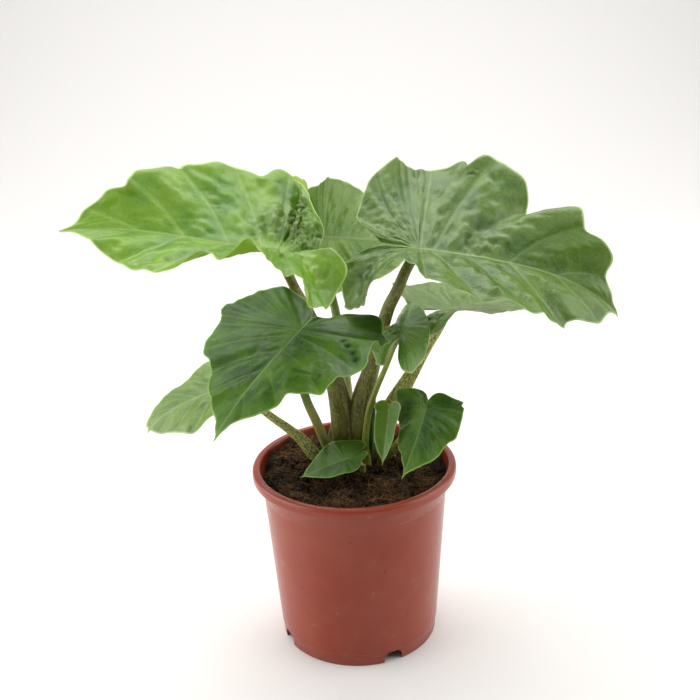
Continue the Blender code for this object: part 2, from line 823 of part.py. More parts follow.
def stalk_rings(stalk, blade):
    """Rings of points up a stalk, the last one laid against the underside of its blade."""
    straight_top = SOIL_TOP + STEM_STRAIGHT
    rings = [foot_ring(stalk, SOIL_TOP - HOLE_DEPTH), foot_ring(stalk, straight_top)]
    x, y, wide, deep = stalk.foot
    rows = [(x, y, straight_top / MM, wide, deep), *stalk.path]
    if blade:
        leaf = next(item for item in LEAVES if item.name == stalk.blade)
        rows.append((*leaf.attach, rows[-1][3], rows[-1][4]))
    rows = np.array(rows, float) * MM
    travelled = np.concatenate([[0], np.cumsum(np.linalg.norm(np.diff(rows[:, :3], axis=0), axis=1))])
    table = np.column_stack([travelled, rows])
    stops = np.linspace(0, travelled[-1], stalk.rings + 1)[1:]
    angles = np.arange(stalk.sides) * 2 * math.pi / stalk.sides
    tree = None
    if blade:
        graph = bpy.context.evaluated_depsgraph_get()
        tree = BVHTree.FromObject(blade, graph)
    for stop in stops:
        x, y, z, wide, deep = hermite(np.array(stop), table)
        ahead = hermite(np.array(min(stop + 0.002, travelled[-1])), table)[:3]
        behind = hermite(np.array(stop - 0.002), table)[:3]
        along = Vector(ahead - behind).normalized()
        across = Vector((0, 1, 0)).cross(along).normalized()
        depth = along.cross(across)
        centre = Vector((x, y, z))
        ring = [centre + across * wide * math.cos(a) + depth * deep * math.sin(a) for a in angles]
        if tree and stop == stops[-1]:
            half = [centre + (point - centre) * 0.5 for point in ring]
            rings.append([seat(point, along, tree) for point in ring])
            rings.append([seat(point, along, tree) for point in half])
            rings.append([seat(centre, along, tree)])
        else:
            rings.append(ring)
    return rings


def seat(point, along, tree):
    """The point moved along the stalk until it lies a gap below the blade."""
    start = point - along * 0.02
    place, normal, _, _ = tree.ray_cast(start, along, 0.06)
    if place is None:
        return point - along * 0.002
    return place - along * (SEAT_GAP / max(0.3, abs(normal.dot(along))))


def build_stalk(stalk, blades):
    """A stalk as a closed tube from its hole in the soil to the underside of its blade."""
    rings = stalk_rings(stalk, blades.get(stalk.blade))
    bm = bmesh.new()
    verts = [[bm.verts.new(point) for point in ring] for ring in rings]
    bm.faces.new(verts[0][::-1])
    for low, high in zip(verts[:-1], verts[1:]):
        for i in range(len(low)):
            j = (i + 1) % len(low)
            if len(high) == 1:
                bm.faces.new((low[i], low[j], high[0]))
            else:
                bm.faces.new((low[i], low[j], high[j], high[i]))
    if len(verts[-1]) > 1:
        bm.faces.new(verts[-1])
    bmesh.ops.triangulate(bm, faces=bm.faces)
    bmesh.ops.recalc_face_normals(bm, faces=bm.faces)
    return object_from_bmesh(stalk.name, bm, stalk.material)


def join_crown(crown, fork):
    """One crown from the two sheathed leaf bases that grow through each other."""
    union = crown.modifiers.new("Fork", "BOOLEAN")
    union.operation = "UNION"
    union.object = fork
    union.solver = "EXACT"
    make_cutter(fork)


def main():
    clear_scene()
    build_pot()
    build_soil()
    blades = {leaf.name: build_blade(leaf) for leaf in LEAVES}
    bpy.context.view_layer.update()
    stalks = {stalk.name: build_stalk(stalk, blades) for stalk in STALKS}
    join_crown(stalks["crown"], stalks["crown_right_fork"])


main()
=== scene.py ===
"""Studio scene of a potted giant taro: fine leaves, stalks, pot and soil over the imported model.

Lengths are in metres unless a name or a docstring says millimetres. +Z is up, the pot's axis is
the Z axis, and the photograph was taken from -Y.
"""

import logging
import math
from dataclasses import dataclass, field
from enum import Enum
from typing import Any, Callable, Union

import bmesh
import bpy
import numpy as np
from mathutils import Matrix, Vector
from mathutils.bvhtree import BVHTree


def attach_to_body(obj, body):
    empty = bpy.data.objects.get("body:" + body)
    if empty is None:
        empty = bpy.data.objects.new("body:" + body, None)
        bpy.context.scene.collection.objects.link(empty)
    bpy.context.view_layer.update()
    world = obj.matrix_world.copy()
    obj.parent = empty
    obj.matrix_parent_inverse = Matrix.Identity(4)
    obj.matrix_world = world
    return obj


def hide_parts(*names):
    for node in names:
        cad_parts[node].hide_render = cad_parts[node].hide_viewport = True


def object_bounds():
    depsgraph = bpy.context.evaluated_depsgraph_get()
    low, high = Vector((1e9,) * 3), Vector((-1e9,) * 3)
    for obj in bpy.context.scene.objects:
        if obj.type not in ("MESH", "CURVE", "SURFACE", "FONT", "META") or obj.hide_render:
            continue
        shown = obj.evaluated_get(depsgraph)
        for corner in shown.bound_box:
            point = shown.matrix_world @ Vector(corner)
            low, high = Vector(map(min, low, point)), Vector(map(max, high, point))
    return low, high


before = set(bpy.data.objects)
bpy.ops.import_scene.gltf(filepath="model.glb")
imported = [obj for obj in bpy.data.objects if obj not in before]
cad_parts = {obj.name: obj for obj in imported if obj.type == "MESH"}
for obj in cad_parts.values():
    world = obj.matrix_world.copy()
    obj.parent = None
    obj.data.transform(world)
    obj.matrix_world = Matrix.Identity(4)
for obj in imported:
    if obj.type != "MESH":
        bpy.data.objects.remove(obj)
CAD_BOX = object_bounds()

log = logging.getLogger("taro")
logging.basicConfig(level=logging.INFO, format="%(name)s: %(message)s")

MM = 0.001
FULL_TURN = 2 * math.pi
# How many units of a UV map make a metre.
UV_SCALE = 10
Colour = tuple[float, float, float]
Place = tuple[float, float, float]
Array = np.ndarray


def smoothstep(share: Array) -> Array:
    """The share eased at both ends, held between 0 and 1."""
    share = np.clip(share, 0.0, 1.0)
    return share * share * (3.0 - 2.0 * share)


def bell(offset: Array, width: float) -> Array:
    """A smooth bump, 1 where the offset is 0 and nearly gone at twice the width."""
    return np.exp(-((offset / width) ** 2))


def hermite(at: Array, table: Array) -> Array:
    """Smooth interpolation through a table whose first column is the position.

    Args:
        at: Positions to read, of any shape.
        table: Rows of (position, value, value, ...).

    Returns:
        The values at each position, with one more axis than `at`.
    """
    knots, values = table[:, 0], table[:, 1:]
    slopes = np.empty_like(values)
    slopes[1:-1] = (values[2:] - values[:-2]) / (knots[2:] - knots[:-2])[:, None]
    slopes[0] = (values[1] - values[0]) / (knots[1] - knots[0])
    slopes[-1] = (values[-1] - values[-2]) / (knots[-1] - knots[-2])
    i = np.clip(np.searchsorted(knots, at, side="right") - 1, 0, len(knots) - 2)
    width = (knots[i + 1] - knots[i])[..., None]
    s = (at - knots[i])[..., None] / width
    return (
        (2 * s**3 - 3 * s**2 + 1) * values[i]
        + (s**3 - 2 * s**2 + s) * width * slopes[i]
        + (3 * s**2 - 2 * s**3) * values[i + 1]
        + (s**3 - s**2) * width * slopes[i + 1]
    )


@dataclass
class Noise:
    """Smooth random heights over a plane, the same on every run."""

    seed: int
    cells: int = 64

    def __post_init__(self) -> None:
        """Draws the lattice of random heights."""
        self.lattice = np.random.default_rng(self.seed).uniform(-1, 1, (self.cells, self.cells))

    def __call__(self, x: Array, y: Array) -> Array:
        """Smooth heights.

        Args:
            x: Places along the lattice, one unit to a cell.
            y: Places across it.

        Returns:
            The height at each place, between about -1 and 1.
        """
        column, row = np.floor(x).astype(int), np.floor(y).astype(int)
        u, v = smoothstep(x - column), smoothstep(y - row)
        n = self.cells
        near = self.lattice[column % n, row % n] * (1 - u) + self.lattice[(column + 1) % n, row % n] * u
        far = self.lattice[column % n, (row + 1) % n] * (1 - u)
        far = far + self.lattice[(column + 1) % n, (row + 1) % n] * u
        return near * (1 - v) + far * v

    def fractal(self, x: Array, y: Array, octaves: int = 2) -> Array:
        """Heights summed over octaves, each twice as fine and half as tall."""
        return sum(self(x * 2**k + 17 * k, y * 2**k - 9 * k) / 2**k for k in range(octaves))

    def ridged(self, x: Array, y: Array) -> Array:
        """Sharp creases between rounded pillows, from 0 at a crease to 1."""
        return sum(np.abs(self(x * 2**k + 5 * k, y * 2**k)) / 2**k for k in range(2)) * 1.4


class Value:
    """A socket of a material's tree, so that shader maths is written as arithmetic."""

    def __init__(self, tree: "Tree", socket: bpy.types.NodeSocket) -> None:
        """Keeps the socket and the tree that it belongs to."""
        self.tree = tree
        self.socket = socket

    def _math(self, operation: str, first: "Operand", second: "Operand") -> "Value":
        """One Math node on two operands."""
        return self.tree.node("ShaderNodeMath", {"operation": operation}, {0: first, 1: second})

    def __add__(self, other: "Operand") -> "Value":
        """This value plus another."""
        return self._math("ADD", self, other)

    def __sub__(self, other: "Operand") -> "Value":
        """This value less another."""
        return self._math("SUBTRACT", self, other)

    def __rsub__(self, other: "Operand") -> "Value":
        """Another value less this one."""
        return self._math("SUBTRACT", other, self)

    def __mul__(self, other: "Operand") -> "Value":
        """This value times another."""
        return self._math("MULTIPLY", self, other)

    __radd__, __rmul__ = __add__, __mul__

    def over(self, low: float, high: float) -> "Value":
        """Eased share, from 0 where this value is `low` to 1 where it is `high`."""
        settings = {"interpolation_type": "SMOOTHSTEP", "clamp": True}
        return self.tree.node("ShaderNodeMapRange", settings, {0: self, 1: low, 2: high, 3: 0.0, 4: 1.0})

    def short_of(self, low: float, high: float) -> "Value":
        """Eased share, from 1 where this value is `low` to 0 where it is `high`."""
        return 1.0 - self.over(low, high)


Operand = Union[Value, float]


class Tree:
    """A material's nodes, added one at a time and wired by value."""

    def __init__(self, name: str) -> None:
        """Starts an empty material.

        Args:
            name: The material's name.
        """
        self.material = bpy.data.materials.new(name)
        self.material.use_nodes = True
        self.nodes = self.material.node_tree.nodes
        self.links = self.material.node_tree.links
        self.nodes.clear()

    def node(self, kind: str, settings: dict[str, Any], inputs: dict[Any, Any], output: Any = 0) -> Value:
        """Adds a node.

        Args:
            kind: The node's type.
            settings: Its properties, set first.
            inputs: Values or links by socket name or number.
            output: The name or number of the output to return.

        Returns:
            The output as a Value.
        """
        made = self.nodes.new(kind)
        for key, value in settings.items():
            setattr(made, key, value)
        for key, value in inputs.items():
            if isinstance(value, Value):
                self.links.new(value.socket, made.inputs[key])
            else:
                made.inputs[key].default_value = value
        return Value(self, made.outputs[output])

    def attribute(self, name: str) -> Value:
        """The number that the mesh holds under this name."""
        return self.node("ShaderNodeAttribute", {"attribute_name": name}, {}, "Fac")

    def attributes(self, *names: str) -> list[Value]:
        """The numbers that the mesh holds under these names."""
        return [self.attribute(name) for name in names]

    def uv(self, name: str) -> Value:
        """The mesh's own UV map of this name."""
        return self.node("ShaderNodeUVMap", {"uv_map": name}, {})

    def place(self) -> Value:
        """The surface's place on the object, in metres."""
        return self.node("ShaderNodeTexCoord", {}, {}, "Object")

    def stretched(self, vector: Value, *scale: float) -> Value:
        """The vector scaled along each axis."""
        return self.node("ShaderNodeMapping", {}, {"Vector": vector, "Scale": scale})

    def clouds(self, vector: Value, scale: float, detail: float, rough: float, output: str = "Fac") -> Value:
        """Soft noise between 0 and 1, or its three-part Color."""
        inputs = {"Vector": vector, "Scale": scale, "Detail": detail, "Roughness": rough}
        return self.node("ShaderNodeTexNoise", {}, inputs, output)

    def cell_edges(self, vector: Value, scale: float) -> Value:
        """Distance to the nearest wall of a net of irregular cells."""
        inputs = {"Vector": vector, "Scale": scale}
        return self.node("ShaderNodeTexVoronoi", {"feature": "DISTANCE_TO_EDGE"}, inputs, "Distance")

    def mix(self, share: Operand, first: Any, second: Any) -> Value:
        """Two colours mixed, all `second` where the share is 1."""
        settings = {"data_type": "RGBA", "clamp_factor": True}
        return self.node("ShaderNodeMix", settings, {0: share, 6: rgba(first), 7: rgba(second)}, 2)

    def layered(self, base: Any, *layers: tuple[Operand, Any]) -> Value:
        """A colour with others laid over it.

        Args:
            base: The colour below.
            layers: Pairs of (share, colour), from the lowest up.

        Returns:
            The colour that they make together.
        """
        for share, colour in layers:
            base = self.mix(share, base, colour)
        return base

    def bump(self, height: Value, distance: float, strength: float) -> Value:
        """A bumped normal from a height."""
        inputs = {"Height": height, "Distance": distance, "Strength": strength}
        return self.node("ShaderNodeBump", {}, inputs)

    def principled(self, colour: Any, roughness: Operand, gloss: float, normal: Any = None) -> Value:
        """A Principled surface.

        Args:
            colour: Its base colour.
            roughness: Its roughness.
            gloss: Its specular level.
            normal: Its bumped normal, if it has one.

        Returns:
            The shader.
        """
        inputs = {"Base Color": rgba(colour), "Roughness": roughness, "Specular IOR Level": gloss}
        if normal is not None:
            inputs["Normal"] = normal
        return self.node("ShaderNodeBsdfPrincipled", {}, inputs)

    def translucent(self, colour: Colour) -> Value:
        """A surface that light shines through, in a colour that is the same all over."""
        return self.node("ShaderNodeBsdfTranslucent", {}, {"Color": rgba(colour)})

    def either(self, share: Operand, first: Value, second: Value) -> Value:
        """Two shaders mixed, all `second` where the share is 1."""
        return self.node("ShaderNodeMixShader", {}, {0: share, 1: first, 2: second})

    def finish(self, surface: Value) -> bpy.types.Material:
        """Ends the material.

        Args:
            surface: The shader that its surface gets.

        Returns:
            The material.
        """
        output = self.nodes.new("ShaderNodeOutputMaterial")
        self.links.new(surface.socket, output.inputs["Surface"])
        return self.material


def rgba(colour: Any) -> Any:
    """A colour with its alpha, or the Value as it is."""
    return colour if isinstance(colour, Value) else (*colour[:3], 1.0)


@dataclass(frozen=True)
class LeafFinish:
    """Colours and gloss of a leaf blade, in linear light.

    A reach is the pair of millimetres between which a mark fades out. A share says how far a mark
    covers the colour below it.
    """

    name: str
    slot: str
    deep: Colour
    light: Colour
    vein: Colour
    under: Colour
    glow: Colour
    roughness: float
    clear: float = 0.25
    net: float = 0.35
    gloss: float = 0.55
    # crease_sheen is a painted sheen for the ridges of creased patches; shadow scales deep into the painted
    # shade of their troughs.
    crease_sheen: Colour = (0.20, 0.27, 0.12)
    shadow: float = 0.45
    rim_lift: float = 1.45
    vein_reach: tuple = (0.12, 0.75)
    halo_reach: tuple = (0.3, 4.0)
    midrib_reach: tuple = (0.5, 1.5)
    rim_reach: tuple = (0.5, 1.7)
    border_glow_reach: tuple = (2.0, 26.0)
    vein_share: float = 0.40
    halo_share: float = 0.13
    midrib_share: float = 0.62
    rim_share: float = 0.85
    border_glow_share: float = 0.35
    bulge_highlight_share: float = 0.5
    crease_light_share: float = 0.75
    pit_shade_share: float = 0.7

    def material(self) -> bpy.types.Material:
        """Waxy leaf skin: pale veins, a fine net, paler under face, light shining through, painted
        highlights on bulges and crease ridges, painted shade in pits and crease troughs.

        Returns:
            The material.
        """
        tree = Tree(self.name)
        flat = tree.uv("flat")
        lateral, rib, edge, weight = tree.attributes("lateral", "rib", "edge", "weight")
        under, bulge, crease_sheen_and_shade, pit = tree.attributes("under", "bulge", "crease_sheen_and_shade", "pit")
        patches = tree.clouds(flat, scale=2.6, detail=4.0, rough=0.55)
        grain = tree.clouds(flat, scale=60.0, detail=3.0, rough=0.6)
        wander = tree.mix(0.06, flat, tree.clouds(flat, 9.0, 2.0, 0.5, "Color"))
        net = tree.cell_edges(wander, scale=19.0).short_of(0.0, 0.06)
        fine = tree.cell_edges(wander, scale=52.0).short_of(0.0, 0.12)
        side_vein = lateral.short_of(*self.vein_reach) * weight
        halo = lateral.short_of(*self.halo_reach) * weight
        midrib = rib.short_of(*self.midrib_reach)
        rim = tuple(min(1.0, self.rim_lift * part) for part in self.vein)
        # Painted shade for the troughs of creased patches.
        dark = tuple(self.shadow * part for part in self.deep)
        upper = tree.layered(
            self.deep,
            (patches.over(0.34, 0.66), self.light),
            # Painted highlight: lighter where the skin bulges.
            (bulge.over(0.2, 1.0) * self.bulge_highlight_share, self.light),
            # Painted glow: lighter towards the margin, as if light shone through the thin edge.
            (edge.short_of(*self.border_glow_reach) * self.border_glow_share, self.light),
            # Painted sheen on crease ridges and painted shade in their troughs.
            (crease_sheen_and_shade * self.crease_light_share, tree.mix(bulge, dark, self.crease_sheen)),
            # Painted shade in pits, gullies and dimples.
            (pit * self.pit_shade_share, self.deep),
            (fine * (0.4 * self.net), self.vein),
            (net * (0.6 * self.net), self.vein),
            (halo * self.halo_share, self.vein),
            (side_vein * self.vein_share, self.vein),
            (midrib * self.midrib_share, self.vein),
            (edge.short_of(*self.rim_reach) * self.rim_share, rim),
        )
        lower = tree.mix(net * 0.3 + side_vein * 0.6 + midrib * 0.6, self.under, self.vein)
        roughness = grain * 0.12 + under * 0.18 + pit * 0.25 + (self.roughness - 0.06)
        normal = tree.bump(grain * 0.25 + fine * 0.5 + net * 0.6, distance=0.0003, strength=0.5)
        surface = tree.principled(tree.mix(under, upper, lower), roughness, self.gloss, normal)
        # In pits and on the midrib the light shining through turns deep green; in pits this is painted
        # shade, and the glossy surface gives way to it there, hiding the sheen.
        dulled = 1.0 - (1.0 - pit) * (1.0 - midrib)
        shone = tree.either(dulled, tree.translucent(self.glow), tree.translucent(self.deep))
        return tree.finish(tree.either(pit * 0.5 + self.clear, surface, shone))


@dataclass(frozen=True)
class StalkFinish:
    """Colours of a stalk, in linear light, and how thickly it is flecked."""

    name: str
    slot: str
    base: Colour
    shade: Colour
    fleck: Colour
    flecked: float
    roughness: float = 0.45
    gloss: float = 0.45
    wing: Colour = (0.50, 0.50, 0.22)
    foot: Colour = (0.40, 0.38, 0.12)
    foot_reach: float = 0.0
    foot_fade: float = 0.15
    speck: Colour = (0.07, 0.07, 0.015)

    def material(self) -> bpy.types.Material:
        """Smooth stalk with lengthwise streaks, pale flecks, dark specks and pale flanges.

        Returns:
            The material.
        """
        tree = Tree(self.name)
        sleeve = tree.uv("sleeve")
        streaks = tree.clouds(tree.stretched(sleeve, 14.0, 1.2, 1.0), scale=4.0, detail=4.0, rough=0.6)
        spots = tree.clouds(tree.stretched(sleeve, 1.0, 0.40, 1.0), scale=58.0, detail=3.0, rough=0.62)
        blotches = tree.clouds(tree.stretched(sleeve, 1.0, 0.4, 1.0), scale=9.0, detail=3.0, rough=0.55)
        specks = tree.clouds(tree.stretched(sleeve, 1.0, 0.45, 1.0), scale=72.0, detail=2.0, rough=0.5)
        along, wing = tree.attributes("along", "wing")
        colour = tree.mix(streaks.over(0.32, 0.68), self.shade, self.base)
        if self.foot_reach > 0:
            low = along.short_of(self.foot_reach, self.foot_reach + self.foot_fade)
            colour = tree.mix(low * 0.85, colour, self.foot)
        colour = tree.layered(
            colour,
            (spots.over(0.52, 0.60) * blotches.over(0.30, 0.62) * self.flecked, self.fleck),
            (along.short_of(0.0, 0.22) * 0.35, self.shade),
            (wing * 0.7, self.wing),
            (specks.over(0.53, 0.58) * (0.75 * self.flecked), self.speck),
        )
        normal = tree.bump(streaks + spots * 0.3, distance=0.0004, strength=0.6)
        surface = tree.principled(colour, streaks * 0.15 + (self.roughness - 0.07), self.gloss, normal)
        return tree.finish(surface)


@dataclass(frozen=True)
class PotFinish:
    """Moulded terracotta-coloured plastic with a soft sheen."""

    name: str = "terracotta_plastic"
    slot: str = "pot_plastic"
    base: Colour = (0.260, 0.028, 0.006)
    dusty: Colour = (0.32, 0.075, 0.040)
    soil_and_shade: Colour = (0.035, 0.012, 0.006)
    roughness: float = 0.27
    gloss: float = 0.45

    def material(self) -> bpy.types.Material:
        """Clouded plastic with faint scuffs, specks of soil, a dusty foot, and painted shade darkening the
        inner wall below the rim.

        Returns:
            The material.
        """
        tree = Tree(self.name)
        place = tree.place()
        clouds = tree.clouds(place, scale=14.0, detail=4.0, rough=0.55)
        scuffs = tree.clouds(place, scale=55.0, detail=5.0, rough=0.6)
        grain = tree.clouds(place, scale=1400.0, detail=2.0, rough=0.5)
        specks = tree.clouds(place, scale=260.0, detail=1.0, rough=0.5)
        worn, inner_wall_shade = tree.attributes("worn", "inner_wall_shade")
        # Painted shade: the inner wall darkened below the rim, in patches; the same dark colour also makes
        # the real specks of soil.
        wall_shade = (clouds.over(0.30, 0.60) * 0.5 + 0.5) * inner_wall_shade
        colour = tree.layered(
            self.base,
            (clouds.over(0.30, 0.72) * 0.35, self.dusty),
            (scuffs.over(0.50, 0.70) * 0.15, self.dusty),
            (worn * 0.35, self.dusty),
            (specks.over(0.755, 0.78) * 0.8, self.soil_and_shade),
            (wall_shade * 0.85, self.soil_and_shade),
        )
        roughness = scuffs * 0.05 + worn * 0.15 + inner_wall_shade * 0.4 + (self.roughness - 0.03)
        normal = tree.bump(grain, distance=0.0001, strength=0.12)
        return tree.finish(tree.principled(colour, roughness, self.gloss, normal))


@dataclass(frozen=True)
class SoilFinish:
    """Damp potting mix, crumbs of it, and coir fibres."""

    name: str
    slot: str = "soil"
    dark: Colour = (0.004, 0.002, 0.001)
    pale: Colour = (0.045, 0.023, 0.011)
    roughness: float = 0.92
    gloss: float = 0.25

    def material(self) -> bpy.types.Material:
        """Clumped colour and a rough bump; loose pieces vary by their own tone.

        Returns:
            The material.
        """
        tree = Tree(self.name)
        place = tree.place()
        clumps = tree.clouds(place, scale=95.0, detail=6.0, rough=0.65)
        grit = tree.clouds(place, scale=900.0, detail=4.0, rough=0.65)
        tone = tree.attribute("tone")
        share = clumps.over(0.44, 0.68) * 0.45 + grit.over(0.5, 0.8) * 0.25 + tone * 0.6
        normal = tree.bump(clumps + grit * 0.6, distance=0.0012, strength=0.9)
        colour = tree.mix(share, self.dark, self.pale)
        return tree.finish(tree.principled(colour, self.roughness, self.gloss, normal))


class Skin(Enum):
    """Which finish a leaf wears: deep, light, vein, under-face and glow colours."""

    BRIGHT = LeafFinish(
        "leaf_skin_bright", "leaf_bright", (0.075, 0.225, 0.004), (0.215, 0.400, 0.012),
        (0.40, 0.56, 0.14), (0.34, 0.54, 0.04), (0.34, 0.62, 0.01), roughness=0.24,
    )
    GREY = LeafFinish(
        "leaf_skin_grey", "leaf_grey", (0.036, 0.120, 0.004), (0.125, 0.225, 0.022),
        (0.32, 0.44, 0.15), (0.20, 0.30, 0.08), (0.20, 0.45, 0.01), roughness=0.23, clear=0.16,
    )
    DEEP = LeafFinish(
        "leaf_skin_deep", "leaf_deep", (0.012, 0.062, 0.001), (0.085, 0.200, 0.010),
        (0.22, 0.38, 0.07), (0.15, 0.25, 0.05), (0.12, 0.34, 0.005), roughness=0.25, clear=0.14,
        net=0.22, gloss=0.32,
    )
    PALE = LeafFinish(
        "leaf_skin_pale", "leaf_pale", (0.090, 0.200, 0.015), (0.210, 0.320, 0.060),
        (0.38, 0.50, 0.20), (0.25, 0.35, 0.12), (0.26, 0.46, 0.02), roughness=0.25, clear=0.22,
    )
    FRESH = LeafFinish(
        "leaf_skin_fresh", "leaf_fresh", (0.050, 0.190, 0.002), (0.170, 0.340, 0.015),
        (0.40, 0.53, 0.18), (0.22, 0.36, 0.07), (0.24, 0.50, 0.01), roughness=0.23,
    )
    # The fresh finish lightened all over: a painted sheen for an upright leaf.
    MIST = LeafFinish(
        "leaf_skin_fresh_sheened", "leaf_fresh", (0.135, 0.275, 0.028), (0.290, 0.440, 0.095),
        (0.44, 0.56, 0.22), (0.26, 0.38, 0.10), (0.28, 0.50, 0.02), roughness=0.27,
    )


class Rind(Enum):
    """Which finish a stalk wears: base, shade and fleck colours, and how flecked it is."""

    OLIVE = StalkFinish(
        "stalk_rind_olive", "stalk_olive",
        (0.255, 0.245, 0.044), (0.095, 0.085, 0.016), (0.50, 0.50, 0.18), 0.6,
    )
    GREEN = StalkFinish(
        "stalk_rind_green", "stalk_green",
        (0.170, 0.235, 0.045), (0.060, 0.115, 0.015), (0.34, 0.40, 0.15), 0.35, foot_reach=0.35,
    )
    MOTTLED = StalkFinish(
        "stalk_rind_mottled", "stalk_mottled",
        (0.520, 0.510, 0.110), (0.290, 0.300, 0.048), (0.76, 0.78, 0.36), 1.0,
    )
    LIME = StalkFinish(
        "stalk_rind_lime", "stalk_green",
        (0.300, 0.350, 0.050), (0.170, 0.215, 0.026), (0.46, 0.50, 0.18), 0.3,
    )
    SPEAR = StalkFinish(
        "rolled_leaf_skin", "leaf_deep",
        (0.040, 0.120, 0.012), (0.016, 0.055, 0.005), (0.16, 0.28, 0.06), 0.15,
    )
    DRY = StalkFinish(
        "dry_sheath_skin", "sheath_dry",
        (0.210, 0.165, 0.070), (0.060, 0.045, 0.018), (0.36, 0.30, 0.16), 0.4, roughness=0.7,
    )


# Half of the blade's outline laid flat: vein number, forward share, sideways share.
# Forward shares count in blade lengths ahead of the stalk and in lobe lengths behind it.
OUTLINE = np.array(
    [
        (0.0, 1.000, 0.000), (0.35, 0.930, 0.028), (0.7, 0.885, 0.085), (1.0, 0.845, 0.160),
        (1.5, 0.775, 0.280), (2.0, 0.690, 0.400), (3.0, 0.500, 0.640), (4.0, 0.280, 0.840),
        (5.0, 0.030, 0.970), (6.0, -0.300, 1.000), (7.0, -0.640, 0.900), (8.0, -0.900, 0.680),
        (9.0, -1.000, 0.380), (9.6, -0.900, 0.200), (10.2, -0.620, 0.080), (11.0, -0.140, 0.000),
    ]
)
# Where each vein leaves the midrib, as a share of the blade's length.
VEIN_ROOTS = np.array([(0, 1.0), (1, 0.64), (2, 0.42), (3, 0.22), (4, 0.07), (5, 0.01), (6, 0.0), (11, 0.0)])
# How strongly each vein shows: behind the stalk only the eighth is a main one.
VEIN_WEIGHTS = np.array(
    [(0, 1.0), (5.4, 1.0), (5.6, 0.15), (7.4, 0.15), (7.6, 0.9), (8.4, 0.9), (8.6, 0.15), (11, 0.15)]
)
VEINS = 11
# The vein behind which the lobes start, and over how many veins they come in.
LOBE_VEIN, LOBE_BLEND = 5, 2
# The vein behind which the sinus is drawn in, over how many veins, and the outline's own depth of it.
SINUS_VEIN, SINUS_VEINS, SINUS_SHARE = 9.2, 1.8, 0.14
# Where a vein bends between the midrib and the margin: forward, sideways, and both on the lobes.
KNEE_FORWARD, KNEE_SIDEWAYS, KNEE_LOBE = 0.34, 0.58, 0.5
RUFFLE_WIDTH = 0.65
RUFFLE_FADE = 0.7
QUILT_SHARE = 0.011
QUILT_LOST_ON_LOBES = 0.88
# A vein at least this long has its full lift, and a leaf this long, in mm, its full relief.
FULL_SPAN = 0.03
BIG_LEAF = 190
# A small waver of every margin: turns in each vein, and its reach outward and upward in mm.
WAVER_TURNS = (0.6, 1.1, 1.9)
WAVER_OUT, WAVER_UP = 0.35, 0.80
# Shares of the way from the midrib or the stalk at which a curving surface is summed.
BEND_STEPS = (np.arange(9) + 0.5) / 9
# Numbers whose sine, scaled, looks random from one pit to the next.
SHUFFLE_ALONG, SHUFFLE_VEIN, SHUFFLE_SCALE = 12.9898, 78.233, 437.58


@dataclass(frozen=True)
class Crumple:
    """A patch of a blade creased like foil: its side and middle, then reach, height and pitch in mm, and how
    strongly its creases get painted sheen and shade.
    """

    side: int
    vein: float
    share: float
    reach: float
    height: float
    pitch: float = 9.0
    # How much painted sheen and shade the patch's creases get.
    painted_sheen: float = 1.0


@dataclass(frozen=True)
class Frill:
    """A narrow bay or bulge of a margin: side, vein position, reach in veins, outward and upward mm."""

    side: int
    vein: float
    reach: float
    outward: float
    upward: float = 0.0


def rows_of(kind: type, *rows: tuple) -> tuple:
    """One object of this kind from each row."""
    return tuple(kind(*row) for row in rows)


